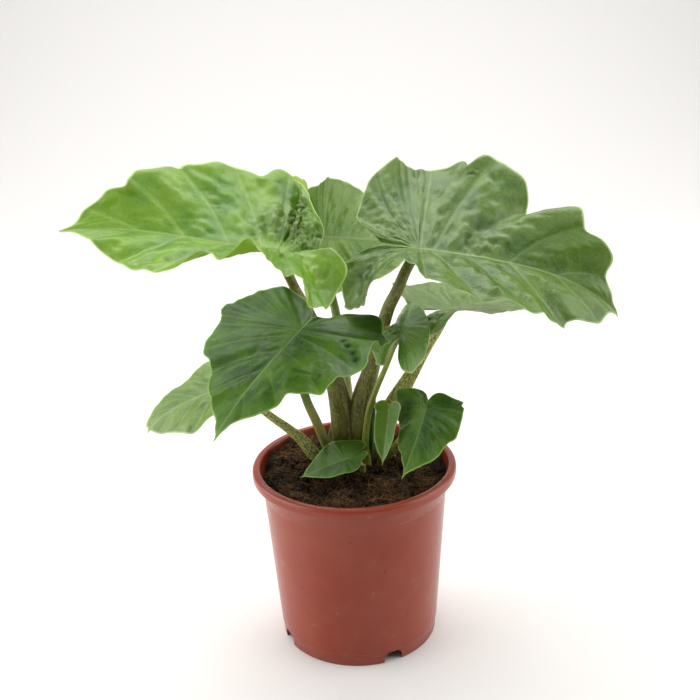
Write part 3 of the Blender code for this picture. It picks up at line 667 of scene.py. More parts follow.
@dataclass(frozen=True)
class Leaf:
    """A blade's form: sizes and places in mm, angles in degrees, pairs as (left, right).

    The leaf points along its own +X with its upper face up. size holds the length ahead of the
    stalk, half the width and the lobes' length. edge_left and edge_right hold the margin's ruffles
    as (vein, outward mm, upward mm), and dimples as (side, vein, share).
    """

    name: str
    attach: tuple
    size: tuple
    sinus: float
    turn: tuple
    fold: tuple
    curl: tuple
    tip_fold: tuple
    lobe_fold: tuple
    lobe_curl: tuple
    lobe_bend: tuple
    droop: tuple
    twist: float
    sweep: float
    edge_left: tuple
    edge_right: tuple
    skin: Skin
    pucker: float = 0.5
    quilt: float = 0.8
    pits: float = 0.6
    veined: float = 1.0
    gullies: float = 0.0
    crumples: tuple = ()
    frills: tuple = ()
    dimples: tuple = ()

    @property
    def seed(self) -> int:
        """A seed of the leaf's own."""
        return sum(map(ord, self.name))

    @staticmethod
    def ruffle(waves: tuple, column: int, vein: Array) -> Array:
        """Sum of a margin's ruffles, fading out at the sinus.

        Args:
            waves: Rows of (vein, outward mm, upward mm).
            column: 1 for outward, 2 for upward.
            vein: Vein positions.

        Returns:
            The shift at each position.
        """
        total = np.zeros_like(vein)
        for wave in waves:
            total += wave[column] * MM * bell(vein - wave[0], RUFFLE_WIDTH)
        return total * smoothstep((VEINS - vein) / RUFFLE_FADE)

    def frill(self, vein: Array, side: int) -> tuple[Array, Array]:
        """Shift of the margin by its frills and a small seeded waver.

        Args:
            vein: Vein positions.
            side: 1 for the left half, -1 for the right.

        Returns:
            The outward and the upward shift.
        """
        outward, upward = np.zeros_like(vein), np.zeros_like(vein)
        for frill in self.frills:
            if frill.side == side:
                swell = bell(vein - frill.vein, frill.reach)
                outward += frill.outward * MM * swell
                upward += frill.upward * MM * swell
        rng = np.random.default_rng(self.seed + side)
        size = (self.size[0] / BIG_LEAF) ** 2
        for turns in WAVER_TURNS:
            phase, lean = rng.uniform(0, FULL_TURN, 2)
            outward += WAVER_OUT * size * MM * np.sin(FULL_TURN * turns * vein + phase)
            upward += WAVER_UP * size * MM * np.sin(FULL_TURN * turns * vein + lean)
        ends = smoothstep(vein / 0.8) * smoothstep((VEINS - vein) / RUFFLE_FADE)
        return outward * ends, upward * ends

    def ends_of(self, vein: Array) -> tuple[Array, Array, Array]:
        """Both ends of a vein on the blade laid flat.

        Args:
            vein: Vein numbers.

        Returns:
            The forward and sideways place at the margin, and the forward place on the midrib.
        """
        length, half_width, lobe = (value * MM for value in self.size)
        edge = hermite(vein, OUTLINE)
        drawn = np.clip((vein - SINUS_VEIN) / SINUS_VEINS, 0, 1) ** 2
        forward = edge[..., 0] - (self.sinus - SINUS_SHARE) * drawn
        forward = forward * np.where(forward > 0, length, lobe)
        root = np.where(vein >= LOBE_VEIN + 1, 0.0, hermite(vein, VEIN_ROOTS)[..., 0] * length)
        return forward, edge[..., 1] * half_width, root

    def flat(self, vein: Array, share: Array, side: int) -> tuple[Array, Array, Array]:
        """Where a point on a vein lies on the blade laid flat.

        Args:
            vein: Vein numbers, from 0 at the tip round to 11 at the sinus.
            share: From 0 at the midrib to 1 at the margin.
            side: 1 for the left half, -1 for the right.

        Returns:
            Forward and sideways places, and the lift of the surface there.
        """
        waves = self.edge_left if side > 0 else self.edge_right
        forward, sideways, root = self.ends_of(vein)
        behind = np.clip((vein - LOBE_VEIN) / LOBE_BLEND, 0, 1)
        knee_x = (root + KNEE_FORWARD * (forward - root)) * (1 - behind) + KNEE_LOBE * forward * behind
        knee_y = sideways * (KNEE_SIDEWAYS * (1 - behind) + KNEE_LOBE * behind)
        x = (1 - share) ** 2 * root + 2 * share * (1 - share) * knee_x + share**2 * forward
        y = 2 * share * (1 - share) * knee_y + share**2 * sideways
        span = np.hypot(forward - root, sideways) + 1e-6
        frill_out, frill_up = self.frill(vein, side)
        push = self.ruffle(waves, 1, vein) / span * share**2 + frill_out / span * share**3
        x = x + (forward - root) * push
        y = y + sideways * push
        quilt = QUILT_SHARE * self.size[0] * MM * np.sin(math.pi * vein) ** 2
        quilt = quilt * (1 - QUILT_LOST_ON_LOBES * smoothstep((vein - LOBE_VEIN) / 1.5))
        lift = self.ruffle(waves, 2, vein) * share**1.6 + frill_up * share**2.5
        lift = lift + quilt * share**0.8 * (1.2 - share)
        return x, side * y, lift * np.clip(span / FULL_SPAN, 0, 1)

    def turned(self) -> Array:
        """The matrix that turns the leaf's own axes into the plant's.

        Returns:
            Three rows of three.
        """
        heading, pitch, roll = (math.radians(value) for value in self.turn)
        tilted = Matrix.Rotation(-pitch, 3, "Y") @ Matrix.Rotation(roll, 3, "X")
        return np.array(Matrix.Rotation(heading, 3, "Z") @ tilted)

    def folded(self, x: Array, y: Array, lift: Array, side: int) -> tuple[Array, Array]:
        """The flat blade folded along its midrib, curled across and twisted along.

        Args:
            x: Forward places on the flat blade.
            y: Sideways places on it.
            lift: Lift of the surface above it.
            side: 1 for the left half, -1 for the right.

        Returns:
            Sideways places and heights.
        """
        length, half_width, lobe = (value * MM for value in self.size)
        pick = 0 if side > 0 else 1
        behind, ahead = smoothstep(-x / lobe), smoothstep(x / length)
        fold = math.radians(self.fold[pick]) * (1 - behind) + math.radians(self.lobe_fold[pick]) * behind
        fold = fold * (1 - ahead) + math.radians(self.tip_fold[pick]) * ahead
        curl = math.radians(self.curl[pick]) * (1 - behind) + math.radians(self.lobe_curl[pick]) * behind
        across = np.abs(y)
        angle = fold[..., None] + curl[..., None] * BEND_STEPS * across[..., None] / half_width
        last = fold + curl * across / half_width
        wide = side * (across * np.cos(angle).mean(-1) - lift * np.sin(last))
        high = across * np.sin(angle).mean(-1) + lift * np.cos(last)
        twist = math.radians(self.twist) * x / length
        cos, sin = np.cos(twist), np.sin(twist)
        return wide * cos - high * sin, wide * sin + high * cos

    def surface(self, vein: Array, share: Array, side: int) -> Array:
        """Places of points on the blade's upper surface, folded, curled, bent and turned.

        Args:
            vein: Vein numbers, from 0 at the tip round to 11 at the sinus.
            share: From 0 at the midrib to 1 at the margin.
            side: 1 for the left half, -1 for the right.

        Returns:
            The places, with x, y and z along the last axis.
        """
        length, half_width, lobe = (value * MM for value in self.size)
        x, y, lift = self.flat(vein, share, side)
        wide, high = self.folded(x, y, lift, side)
        start, end = (math.radians(value) for value in self.droop)
        front, rear = np.maximum(x, 0), np.maximum(-x, 0)
        reached = BEND_STEPS * front[..., None] / length
        dip = -(start * reached + end * reached**3)
        dip_end = -(start * front / length + end * (front / length) ** 3)
        bends = [math.radians(value) for value in self.lobe_bend]
        middle = sum(bends) / 2
        bend = middle + (bends[0 if side > 0 else 1] - middle) * smoothstep(np.abs(y) / (0.4 * half_width))
        rise = bend[..., None] * smoothstep(BEND_STEPS * rear[..., None] / lobe - 0.1)
        rise_end = bend * smoothstep(rear / lobe - 0.1)
        slope = np.where(x >= 0, dip_end, -rise_end)
        along = np.where(x >= 0, front * np.cos(dip).mean(-1), -rear * np.cos(rise).mean(-1))
        up = np.where(x >= 0, front * np.sin(dip).mean(-1), rear * np.sin(rise).mean(-1))
        sideways = wide + self.sweep * length * (front / length) ** 2
        place = np.stack([along - high * np.sin(slope), sideways, up + high * np.cos(slope)], -1)
        return place @ self.turned().T + np.array(self.attach) * MM


LEAVES = (
    Leaf(
        "blade_left", attach=(-57, -40, 391), size=(189, 112, 49), sinus=0.65, turn=(176, 10, 8),
        fold=(7, 23), curl=(-3, 1), tip_fold=(-6, 29), lobe_fold=(-24, 42), lobe_curl=(9, 3),
        lobe_bend=(-23, 50), droop=(-4, 24), twist=-29, sweep=-0.04, skin=Skin.BRIGHT, pucker=0.9,
        gullies=1.1, quilt=1.4, pits=1.0,
        edge_left=(
            (1, 0, 3), (2, -4, -6), (3, -4, -7), (4, -3, 9), (5, 9, -1), (6, -2, -4), (7, -4, 13),
            (8, 2, -5), (9, 13, -7), (10, 2, 13),
        ),
        edge_right=(
            (1, 4, -2), (2, 0, 11), (3, 9, 2), (4, 4, 0), (5, 2, 10), (6, -1, -5), (7, 11, 5),
            (8, 15, 1), (9, 2, 8), (10, -7, -2),
        ),
        crumples=rows_of(
            Crumple, (-1, 6.0, 0.35, 26, 5.0, 9.0), (-1, 7.6, 0.6, 26, 5.0, 8.0),
            (-1, 9.3, 0.55, 20, 4.0, 7.0), (-1, 4.7, 0.32, 18, 3.0, 11.0),
            (1, 8.3, 0.6, 22, 2.6, 17.0, 0.0), (1, 6.8, 0.4, 12, 2.5, 9.0),
        ),
        frills=rows_of(
            Frill, (-1, 1.55, 0.15, 2), (-1, 1.8, 0.13, -5), (-1, 2.3, 0.18, 8, 2),
            (-1, 2.95, 0.13, -5, -3), (-1, 3.75, 0.2, 3, 2), (-1, 4.5, 0.18, -7, -3),
            (-1, 4.85, 0.2, 6, 2), (-1, 7.0, 0.6, -12), (1, 2.8, 0.3, -2), (1, 4.0, 0.28, -9, 3),
            (1, 4.45, 0.14, 4, -2), (1, 4.85, 0.26, -7, 16), (1, 5.3, 0.2, -3, 2), (1, 8.5, 0.3, 3, 3),
            (1, 9.7, 0.4, 10, 3),
        ),
    ),
    Leaf(
        "blade_right", attach=(63, 7, 376), size=(192, 119, 65), sinus=0.47, turn=(-4, -9, 3),
        fold=(23, 12), curl=(-2, 1), tip_fold=(28, -5), lobe_fold=(26, -28), lobe_curl=(13, 10),
        lobe_bend=(23, -39), droop=(1, 42), twist=29, sweep=-0.05, skin=Skin.GREY, pucker=1.1,
        gullies=1.6, quilt=1.9, pits=1.9,
        edge_left=(
            (1, 4, -1), (2, 7, 13), (3, -6, -7), (4, 16, 6), (5, -3, -3), (6, -5, 2), (7, 4, 9),
            (8, 4, 2), (9, -6, -8), (10, -2, 8),
        ),
        edge_right=(
            (1, 10, 2), (2, 0, -9), (3, 2, 5), (4, -8, -5), (5, 3, -5), (6, -19, 7), (7, -9, 9),
            (8, -1, -2), (9, 15, -10), (10, 15, -7),
        ),
        crumples=rows_of(
            Crumple, (1, 3.0, 0.3, 24, 2.0, 12.0), (1, 8.5, 0.4, 22, 1.5, 13.0),
            (-1, 8.2, 0.6, 30, 3.5, 17.0),
        ),
        frills=rows_of(
            Frill, (1, 7.0, 0.35, -3), (1, 0.25, 0.12, 3), (1, 1.0, 0.2, -3), (1, 1.4, 0.2, 4, 2),
            (1, 1.95, 0.16, -7, -2), (1, 2.4, 0.17, 9, 3), (1, 2.83, 0.16, -13, -4),
            (1, 3.35, 0.25, 6, 2), (1, 4.15, 0.15, 3, 2), (1, 4.36, 0.07, -7, -2),
            (1, 4.55, 0.12, 2, 2), (-1, 1.0, 0.25, 3, -2), (-1, 1.95, 0.08, 5), (-1, 2.5, 0.2, -3, 2),
            (-1, 3.5, 0.2, -2, 3), (-1, 4.5, 0.2, 4), (-1, 5.1, 0.2, -5, -3),
        ),
    ),
    Leaf(
        "blade_front", attach=(-40, -62, 330), size=(138, 89, 36), sinus=0.46, turn=(-123, -16, 1),
        fold=(-1, -1), curl=(-9, -6), tip_fold=(2, 1), lobe_fold=(-12, 2), lobe_curl=(-11, -4),
        lobe_bend=(-3, 18), droop=(3, 17), twist=7, sweep=0.02, skin=Skin.DEEP, pucker=0.4, pits=0.15,
        veined=0.7, quilt=0.8,
        edge_left=((4, 4, 1), (5, -12, 10), (6, -14, -12), (9, 18, 3), (10, 0, -6)),
        edge_right=(
            (1, -2, -1), (2, -2, 1), (3, -6, -2), (4, 4, 1), (6, 3, 4), (8, 2, 2), (9, 2, 9),
            (10, 4, -6),
        ),
        dimples=((1, 4.8, 0.53), (1, 4.6, 0.63), (1, 4.38, 0.75), (1, 4.24, 0.83)),
        crumples=rows_of(Crumple, (1, 3.3, 0.7, 13, 1.8, 8.0)),
        frills=rows_of(
            Frill, (1, 1.0, 0.2, -3), (1, 1.75, 0.15, 2), (1, 2.4, 0.2, -4, 2), (1, 3.05, 0.2, 6, -1),
            (1, 3.6, 0.13, -4, 2), (1, 4.3, 0.2, 3), (1, 6.6, 0.7, -12), (-1, 0.4, 0.25, 4),
            (-1, 1.65, 0.2, -3, 2), (-1, 3.4, 0.2, -3, 2), (-1, 5.4, 0.15, -2),
        ),
    ),
    Leaf(
        "blade_low_left", attach=(-99, -16, 265), size=(98, 56, 40), sinus=0.14, turn=(189, -13, -5),
        fold=(9, 9), curl=(-7, -9), tip_fold=(-7, 4), lobe_fold=(0, 0), lobe_curl=(0, 0),
        lobe_bend=(0, 0), droop=(4, 41), twist=-14, sweep=0.03, skin=Skin.PALE, quilt=1.2,
        edge_left=((1, 5, -3), (2, 3, -2), (3, 5, -5), (4, -1, 4)),
        edge_right=((1, 4, 1), (3, -2, -4)),
        frills=rows_of(Frill, (-1, 0.6, 0.4, 5)),
    ),
    Leaf(
        "blade_back", attach=(-21, 89, 367), size=(132, 60, 31), sinus=0.2, turn=(36, -13, 48),
        fold=(27, -14), curl=(12, -13), tip_fold=(6, 0), lobe_fold=(24, -17), lobe_curl=(7, -7),
        lobe_bend=(20, -1), droop=(-1, 15), twist=0, sweep=0.0, skin=Skin.MIST, pucker=0.7, quilt=1.0,
        veined=0.8,
        edge_left=((5, -2, 5), (6, -2, 7), (7, -6, 6), (9, 2, -1)),
        edge_right=((4, -6, -2), (5, -2, -1), (7, -2, 2)),
        frills=rows_of(Frill, (1, 6.2, 0.6, -5)),
    ),
    Leaf(
        "blade_right_back", attach=(94, 52, 304), size=(118, 67, 40), sinus=0.14, turn=(30, -4, -1),
        fold=(10, 14), curl=(-8, -5), tip_fold=(2, 1), lobe_fold=(20, 16), lobe_curl=(-5, -6),
        lobe_bend=(6, -52), droop=(-1, 15), twist=4, sweep=0.0, skin=Skin.PALE, pucker=0.9, quilt=1.4,
        edge_left=((4, 0, 2), (9, -2, 2)),
        edge_right=((5, 0, -2), (6, 0, 3), (7, -2, 7), (8, 1, -2), (9, 3, -4)),
        crumples=rows_of(Crumple, (-1, 9.0, 0.7, 14, 2.0)),
    ),
    Leaf(
        "blade_middle", attach=(45, -30, 311), size=(82, 29, 39), sinus=0.06, turn=(75, 9, 10),
        fold=(-10, -7), curl=(-54, -48), tip_fold=(-12, 5), lobe_fold=(-38, -19), lobe_curl=(-49, -47),
        lobe_bend=(-39, -32), droop=(6, 24), twist=-7, sweep=0.05, skin=Skin.FRESH, pucker=0.5,
        quilt=0.7, veined=0.4,
        edge_left=(
            (2, -2, -4), (3, -3, -5), (4, -4, -1), (5, 0, 3), (8, 1, 3), (9, -1, -2), (10, -4, 6),
        ),
        edge_right=((4, 0, 1), (8, 3, 2), (9, 2, 2)),
        crumples=rows_of(Crumple, (1, 4.0, 0.3, 10, 2.2, 6.0)),
        frills=rows_of(Frill, (1, 1.9, 1.3, 6)),
    ),
    Leaf(
        "blade_low_right", attach=(66, -30, 242), size=(70, 48, 16), sinus=0.31, turn=(-121, -54, 17),
        fold=(-3, -9), curl=(-9, -15), tip_fold=(-2, -2), lobe_fold=(-16, 2), lobe_curl=(-12, -8),
        lobe_bend=(-7, 9), droop=(-10, 1), twist=7, sweep=-0.01, skin=Skin.DEEP, quilt=0.8, veined=0.6,
        edge_left=((1, 1, 0), (2, 2, -2), (5, -3, 3), (8, -3, -2)),
        edge_right=((1, -3, -1), (3, -1, -2), (4, -1, -3), (5, 1, 4), (9, 2, 6)),
        crumples=rows_of(Crumple, (-1, 9.5, 0.2, 8, 1.6, 5.0)),
        frills=rows_of(
            Frill, (1, 6.4, 1.1, -12), (1, 8.6, 0.8, -4), (1, 3.7, 0.3, 3), (1, 2.6, 0.5, 3.5),
            (-1, 8.8, 0.9, -6), (-1, 1.9, 0.5, -4.5),
        ),
    ),
    Leaf(
        "blade_young", attach=(33, -11, 229), size=(50, 14, 10), sinus=0.13, turn=(-110, -65, 7),
        fold=(21, 20), curl=(1, 0), tip_fold=(11, 10), lobe_fold=(10, 10), lobe_curl=(0, 0),
        lobe_bend=(0, 0), droop=(-2, 9), twist=1, sweep=-0.02, skin=Skin.FRESH, pucker=0.2, veined=0.5,
        edge_left=((4, -1, 1),),
        edge_right=((2, 2, 0), (3, 2, 0), (5, -2, 0)),
    ),
    Leaf(
        "blade_seedling", attach=(-8, -14, 184), size=(46, 27, 26), sinus=0.13, turn=(-157, -11, -7),
        fold=(7, 8), curl=(-9, -8), tip_fold=(0, 0), lobe_fold=(7, 1), lobe_curl=(-8, -9),
        lobe_bend=(10, 4), droop=(-7, 13), twist=-1, sweep=-0.01, skin=Skin.DEEP, quilt=0.5, veined=0.5,
        edge_left=((4, -1, 2), (10, 1, 3)),
        edge_right=((4, 1, 1), (5, 1, 2)),
        frills=rows_of(Frill, (1, 7.4, 2.0, -13)),
    ),
)


def split_quads(a: Array, b: Array, c: Array, d: Array, turned: bool = False) -> Array:
    """Two triangles for each quad.

    Args:
        a: First corner of each quad.
        b: Second corner.
        c: Third corner.
        d: Fourth corner.
        turned: Whether they face the other way.

    Returns:
        One row of vertex numbers for each triangle.
    """
    halves = [(a, c, b), (a, d, c)] if turned else [(a, b, c), (a, c, d)]
    return np.concatenate([np.stack(half, -1).reshape(-1, 3) for half in halves])


def ring_faces(index: Array, turned: bool = False) -> Array:
    """Triangles between rings of vertices, given as the rows of `index`."""
    ahead = np.roll(index, -1, axis=1)
    return split_quads(index[:-1], ahead[:-1], ahead[1:], index[1:], turned)


def fan(ring: Array, middle: int, turned: bool = False) -> Array:
    """Triangles from a ring of vertices to one in its middle."""
    ends = (np.roll(ring, -1), ring) if turned else (ring, np.roll(ring, -1))
    return np.stack([*ends, np.full(len(ring), middle)], -1)


@dataclass
class Sheet:
    """The upper skin of a blade as merged points, triangles and numbers kept at each point."""

    points: Array
    faces: Array
    kept: dict[str, Array]

    def normals(self) -> Array:
        """Unit normals at the points, weighted by the area of the triangles round each.

        Returns:
            One row for each point.
        """
        corners = self.points[self.faces]
        facing = np.cross(corners[:, 1] - corners[:, 0], corners[:, 2] - corners[:, 0])
        total = np.zeros_like(self.points)
        for corner in range(3):
            np.add.at(total, self.faces[:, corner], facing)
        return total / (np.linalg.norm(total, axis=1, keepdims=True) + 1e-12)

    def border(self) -> Array:
        """The edges that belong to one triangle only.

        Returns:
            One row of two vertex numbers for each, in the triangle's own direction.
        """
        ends = np.concatenate([self.faces[:, [0, 1]], self.faces[:, [1, 2]], self.faces[:, [2, 0]]])
        _, index, count = np.unique(np.sort(ends, axis=1), axis=0, return_inverse=True, return_counts=True)
        return ends[count[index.reshape(-1)] == 1]


@dataclass
class Blade:
    """A leaf blade as a closed skin, with veins, puckers and creases in its shape.

    Widths that go with lateral, rib and edge are in mm, as these are: how far a point lies from
    the nearest side vein, from the midrib and from the margin.
    """

    leaf: Leaf
    per_vein: int = 16
    rings: int = 42
    weld: float = 2e-6
    thickness: float = 0.0006
    roomy_gap: float = 22 * MM
    roomy_rib: float = 12.0
    groove: float = 0.35 * MM
    groove_width: float = 1.1
    rib_rise: float = 1.9 * MM
    rib_width: float = 2.2
    vein_rise: float = 0.55 * MM
    vein_width: float = 0.9
    pucker_pitch: float = 7.5 * MM
    pleats_in_vein: float = 3.4
    pit_pitch: float = 9.5 * MM
    pit_offset: float = 0.19
    pit_width: float = 0.10
    pit_length: float = 0.24
    pit_border: float = 6.0
    gully_offset: float = 0.25
    gully_width: float = 0.14
    gully_share: float = 0.30
    gully_length: float = 0.17
    pit_cloud: float = 17 * MM
    pit_patch: float = 26 * MM
    dimple_depth: float = 1.6 * MM
    dimple_reach: float = 2.8 * MM

    def grid(self, side: int) -> tuple[Array, Array, dict[str, Array]]:
        """Points of one half of the blade, and the numbers that the skin needs there.

        Args:
            side: 1 for the left half, -1 for the right.

        Returns:
            Points by column and ring, faces between them, and numbers by name.
        """
        leaf = self.leaf
        shares = np.linspace(0, 1, self.rings + 1) ** 0.9
        vein, share = np.meshgrid(np.linspace(0, VEINS, VEINS * self.per_vein + 1), shares, indexing="ij")
        points = leaf.surface(vein, share, side)
        x, y, _ = leaf.flat(vein, share, side)
        pitch = np.hypot(np.gradient(x, axis=0), np.gradient(y, axis=0)) * self.per_vein
        lateral = np.abs(vein - np.clip(np.round(vein), 1, VEINS - 1)) * pitch
        reach = np.hypot(x[:, -1:] - x[:, :1], y[:, -1:] - y[:, :1])
        edge = np.minimum((1 - share) * reach, (VEINS - vein) * pitch + (share < 0.02) * 1.0)
        strength = leaf.veined * np.interp(vein, VEIN_WEIGHTS[:, 0], VEIN_WEIGHTS[:, 1])
        kept = {
            "lateral": lateral / MM / max(0.5, min(1.0, leaf.size[0] / 150)),
            "rib": np.where(x > 0, np.abs(y), np.hypot(x, y)) / MM,
            "edge": edge / MM,
            "vein": vein,
            "share": share,
            "x": x,
            "y": y,
            "gap": pitch,
            "weight": strength * smoothstep(pitch / (9 * MM)),
            "side": np.full_like(x, side),
        }
        index = np.arange(vein.size).reshape(vein.shape)
        faces = split_quads(index[:-1, :-1], index[1:, :-1], index[1:, 1:], index[:-1, 1:], turned=True)
        kept = {key: value.reshape(-1) for key, value in kept.items()}
        return points.reshape(-1, 3), faces if side > 0 else faces[:, ::-1], kept

    def sheet(self) -> Sheet:
        """Both halves merged along the midrib.

        Returns:
            The upper skin.
        """
        left, right = self.grid(1), self.grid(-1)
        points = np.concatenate([left[0], right[0]])
        faces = np.concatenate([left[1], right[1] + len(left[0])])
        cells = np.round(points / self.weld).astype(np.int64)
        _, first, index = np.unique(cells, axis=0, return_index=True, return_inverse=True)
        faces = index.reshape(-1)[faces]
        whole = (faces[:, 0] != faces[:, 1]) & (faces[:, 1] != faces[:, 2]) & (faces[:, 0] != faces[:, 2])
        kept = {key: np.concatenate([left[2][key], right[2][key]])[first] for key in left[2]}
        return Sheet(points[first], faces[whole], kept)

    def away(self, kept: dict[str, Array], side: int, vein: float, share: float) -> Array:
        """How far each point lies from a place on the blade laid flat."""
        x, y, _ = self.leaf.flat(np.array(vein), np.array(share), side)
        return np.hypot(kept["x"] - float(x), kept["y"] - float(y))

    def cloud(self, kept: dict[str, Array], offset: int, pitch: float, apart: float = 9.0) -> Array:
        """Seeded noise over the flat blade, with the halves set apart."""
        noise = Noise(self.leaf.seed + offset)
        return noise.fractal(kept["x"] / pitch, kept["y"] / pitch + apart * kept["side"])

    def pleats(self, kept: dict[str, Array], room: Array, busy: Array) -> Array:
        """Swelling between the veins, long and round puckers, and a groove along each vein.

        Args:
            kept: The skin's numbers.
            room: How much room there is for detail.
            busy: How crumpled the blade is there.

        Returns:
            Their height.
        """
        leaf, vein = self.leaf, kept["vein"]
        between = np.abs(np.sin(math.pi * vein))
        fade = smoothstep(kept["edge"] / 5.0) * room
        travelled = kept["share"] * leaf.size[1] * MM / self.pucker_pitch
        folds = Noise(leaf.seed).fractal(0.5 * travelled + 40 * kept["side"], vein * self.pleats_in_vein)
        folds *= 1 - 0.85 * smoothstep((vein - 4.8) / 1.5)
        pillows = self.cloud(kept, 1, self.pucker_pitch, 40)
        height = leaf.quilt * leaf.size[0] / BIG_LEAF * MM * (between**0.7 - 0.6) * fade * kept["weight"]
        height += leaf.pucker * MM * (1.9 * folds + 0.55 * pillows) * (0.2 + 0.8 * between) * fade * busy
        return height - self.groove * bell(kept["lateral"], self.groove_width) * fade * kept["weight"]

    def hollows(self, kept: dict[str, Array], room: Array, busy: Array) -> Array:
        """Pits in rows beside the veins and gullies along them; keeps them as "pit", where the material
        paints shade.

        Args:
            kept: The skin's numbers.
            room: How much room there is for detail.
            busy: How crumpled the blade is there.

        Returns:
            Their depth.
        """
        leaf, vein, share = self.leaf, kept["vein"], kept["share"]
        beyond = vein - np.round(vein)
        offset = np.abs(beyond)
        place = share * np.hypot(*leaf.size[:2]) * MM / self.pit_pitch + 1.5 * offset
        place += 0.9 * self.cloud(kept, 4, self.pit_cloud)
        shuffle = np.sin(SHUFFLE_ALONG * np.floor(place) + SHUFFLE_VEIN * np.round(vein))
        spots = (0.25 + 0.75 * (shuffle * SHUFFLE_SCALE % 1)) * bell(place % 1 - 0.5, self.pit_length)
        spots = spots * bell(offset - self.pit_offset, self.pit_width)
        here = smoothstep((self.cloud(kept, 3, self.pit_patch) + 0.15) / 0.35)
        inner = smoothstep((kept["edge"] - self.pit_border) / 14.0) * room
        pits = spots * here * inner * busy * kept["weight"]
        gully = bell(beyond - self.gully_offset, self.gully_width)
        gully *= bell(share - self.gully_share, self.gully_length)
        gully *= smoothstep((kept["rib"] - 4.0) / 8.0) * busy * (0.35 + 0.65 * here)
        kept["pit"] = np.maximum(pits, 0.5 * leaf.gullies * gully)
        return leaf.pits * MM * pits + leaf.gullies * MM * gully

    def creases(self, kept: dict[str, Array]) -> Array:
        """Patches creased like foil; keeps where they get painted sheen and shade as
        "crease_sheen_and_shade".

        Args:
            kept: The skin's numbers.

        Returns:
            Their height.
        """
        noise = Noise(self.leaf.seed + 2)
        height = np.zeros_like(kept["x"])
        kept["crease_sheen_and_shade"] = np.zeros_like(kept["x"])
        for patch in self.leaf.crumples:
            u, v = kept["x"] / (patch.pitch * MM), kept["y"] / (patch.pitch * MM)
            away = self.away(kept, patch.side, patch.vein, patch.share)
            near = np.exp(-((away / (patch.reach * MM)) ** 4))
            folds = noise.ridged(u, v) + 0.5 * noise.ridged(u * 2.1, v * 2.1) - 0.75
            height += patch.height * MM * folds * near * smoothstep(kept["edge"] / 3.0)
            # Where the material paints sheen on the crease ridges and shade in their troughs.
            kept["crease_sheen_and_shade"] = np.maximum(kept["crease_sheen_and_shade"], near * patch.painted_sheen * patch.height / 5)
        return height

    def relief(self, kept: dict[str, Array]) -> Array:
        """Height of the pleats, puckers, pits and creases above the plain blade.

        Args:
            kept: The skin's numbers, which gain "pit" and "crease_sheen_and_shade".

        Returns:
            The height at each point.
        """
        room = smoothstep(kept["gap"] / self.roomy_gap) * smoothstep(kept["rib"] / self.roomy_rib)
        busy = 0.25 + 0.75 * smoothstep((kept["vein"] - 0.8) / 2.5)
        height = self.pleats(kept, room, busy) - self.hollows(kept, room, busy) + self.creases(kept)
        for dimple in self.leaf.dimples:
            hollow = bell(self.away(kept, *dimple), self.dimple_reach)
            # Dimples get the same painted shade as the pits.
            kept["pit"] = np.maximum(kept["pit"], 1.2 * hollow)
            height -= self.dimple_depth * hollow
        return height

    def depth(self, kept: dict[str, Array]) -> Array:
        """Depth of the under face below the upper one: the skin, or the midrib and veins.

        Args:
            kept: The skin's numbers.

        Returns:
            The depth at each point.
        """
        scale = self.leaf.size[0] / BIG_LEAF
        stout = np.clip(1 - kept["x"] / (self.leaf.size[0] * MM), 0, 1) ** 0.7
        rib = self.rib_rise * scale * stout * bell(kept["rib"], self.rib_width * scale + 0.4)
        veins = self.vein_rise * scale * (1 - 0.7 * kept["share"]) * bell(kept["lateral"], self.vein_width)
        skin = self.thickness * (0.55 + 0.45 * smoothstep(kept["edge"] / 2.0))
        return skin + np.maximum(rib, veins * kept["weight"])

    def build(self) -> bpy.types.Object:
        """The blade as one closed mesh: upper skin, ribbed under skin and a wall round the margin.

        Returns:
            The piece.
        """
        sheet = self.sheet()
        kept = sheet.kept
        height = self.relief(kept)
        sheet.points = held_in_box(sheet.points + sheet.normals() * height[:, None])
        under = sheet.points - sheet.normals() * self.depth(kept)[:, None]
        count = len(sheet.points)
        start, end = sheet.border().T
        wall = split_quads(end, start, start + count, end + count)
        faces = np.concatenate([sheet.faces, sheet.faces[:, ::-1] + count, wall])
        obj = mesh_object(f"{self.leaf.name}_fine", np.concatenate([sheet.points, under]), faces)
        # How raised the skin is, swelling between the veins; the material paints it lighter there as a
        # painted highlight.
        kept["bulge"] = np.clip(height / (0.6 * MM) + 0.5 * np.sin(math.pi * kept["vein"]) ** 2, 0, 1)
        for name in ("lateral", "rib", "edge", "weight", "bulge", "crease_sheen_and_shade", "pit"):
            keep_number(obj, name, np.tile(kept[name], 2))
        keep_number(obj, "under", np.repeat([0.0, 1.0], count))
        flat = np.stack([kept["x"], kept["y"] + 0.3 * (kept["side"] < 0)], -1) * UV_SCALE
        keep_uv(obj, "flat", np.concatenate([flat, flat]))
        obj.data.materials.append(finish_of(self.leaf.skin.value))
        dress(obj, self.leaf.skin.value.slot, self.leaf.name)
        return obj


@dataclass(frozen=True)
class Wing:
    """A thin flange along a stalk.

    It lies at an angle and is so many degrees wide; height, start and end are shares of the
    stalk's radius and length.
    """

    angle: float
    width: float
    height: float
    start: float
    end: float


@dataclass(frozen=True)
class Stalk:
    """A stalk's form in mm: a straight foot (x, y, half width, half depth), then its path.

    path holds rows of (x, y, z, half width, half depth) from the soil up. A blade's name lets the
    path end at that blade.
    """

    name: str
    foot: tuple
    path: tuple
    rind: Rind
    blade: str = ""
    wings: tuple = ()
    rolled: float = 0.0


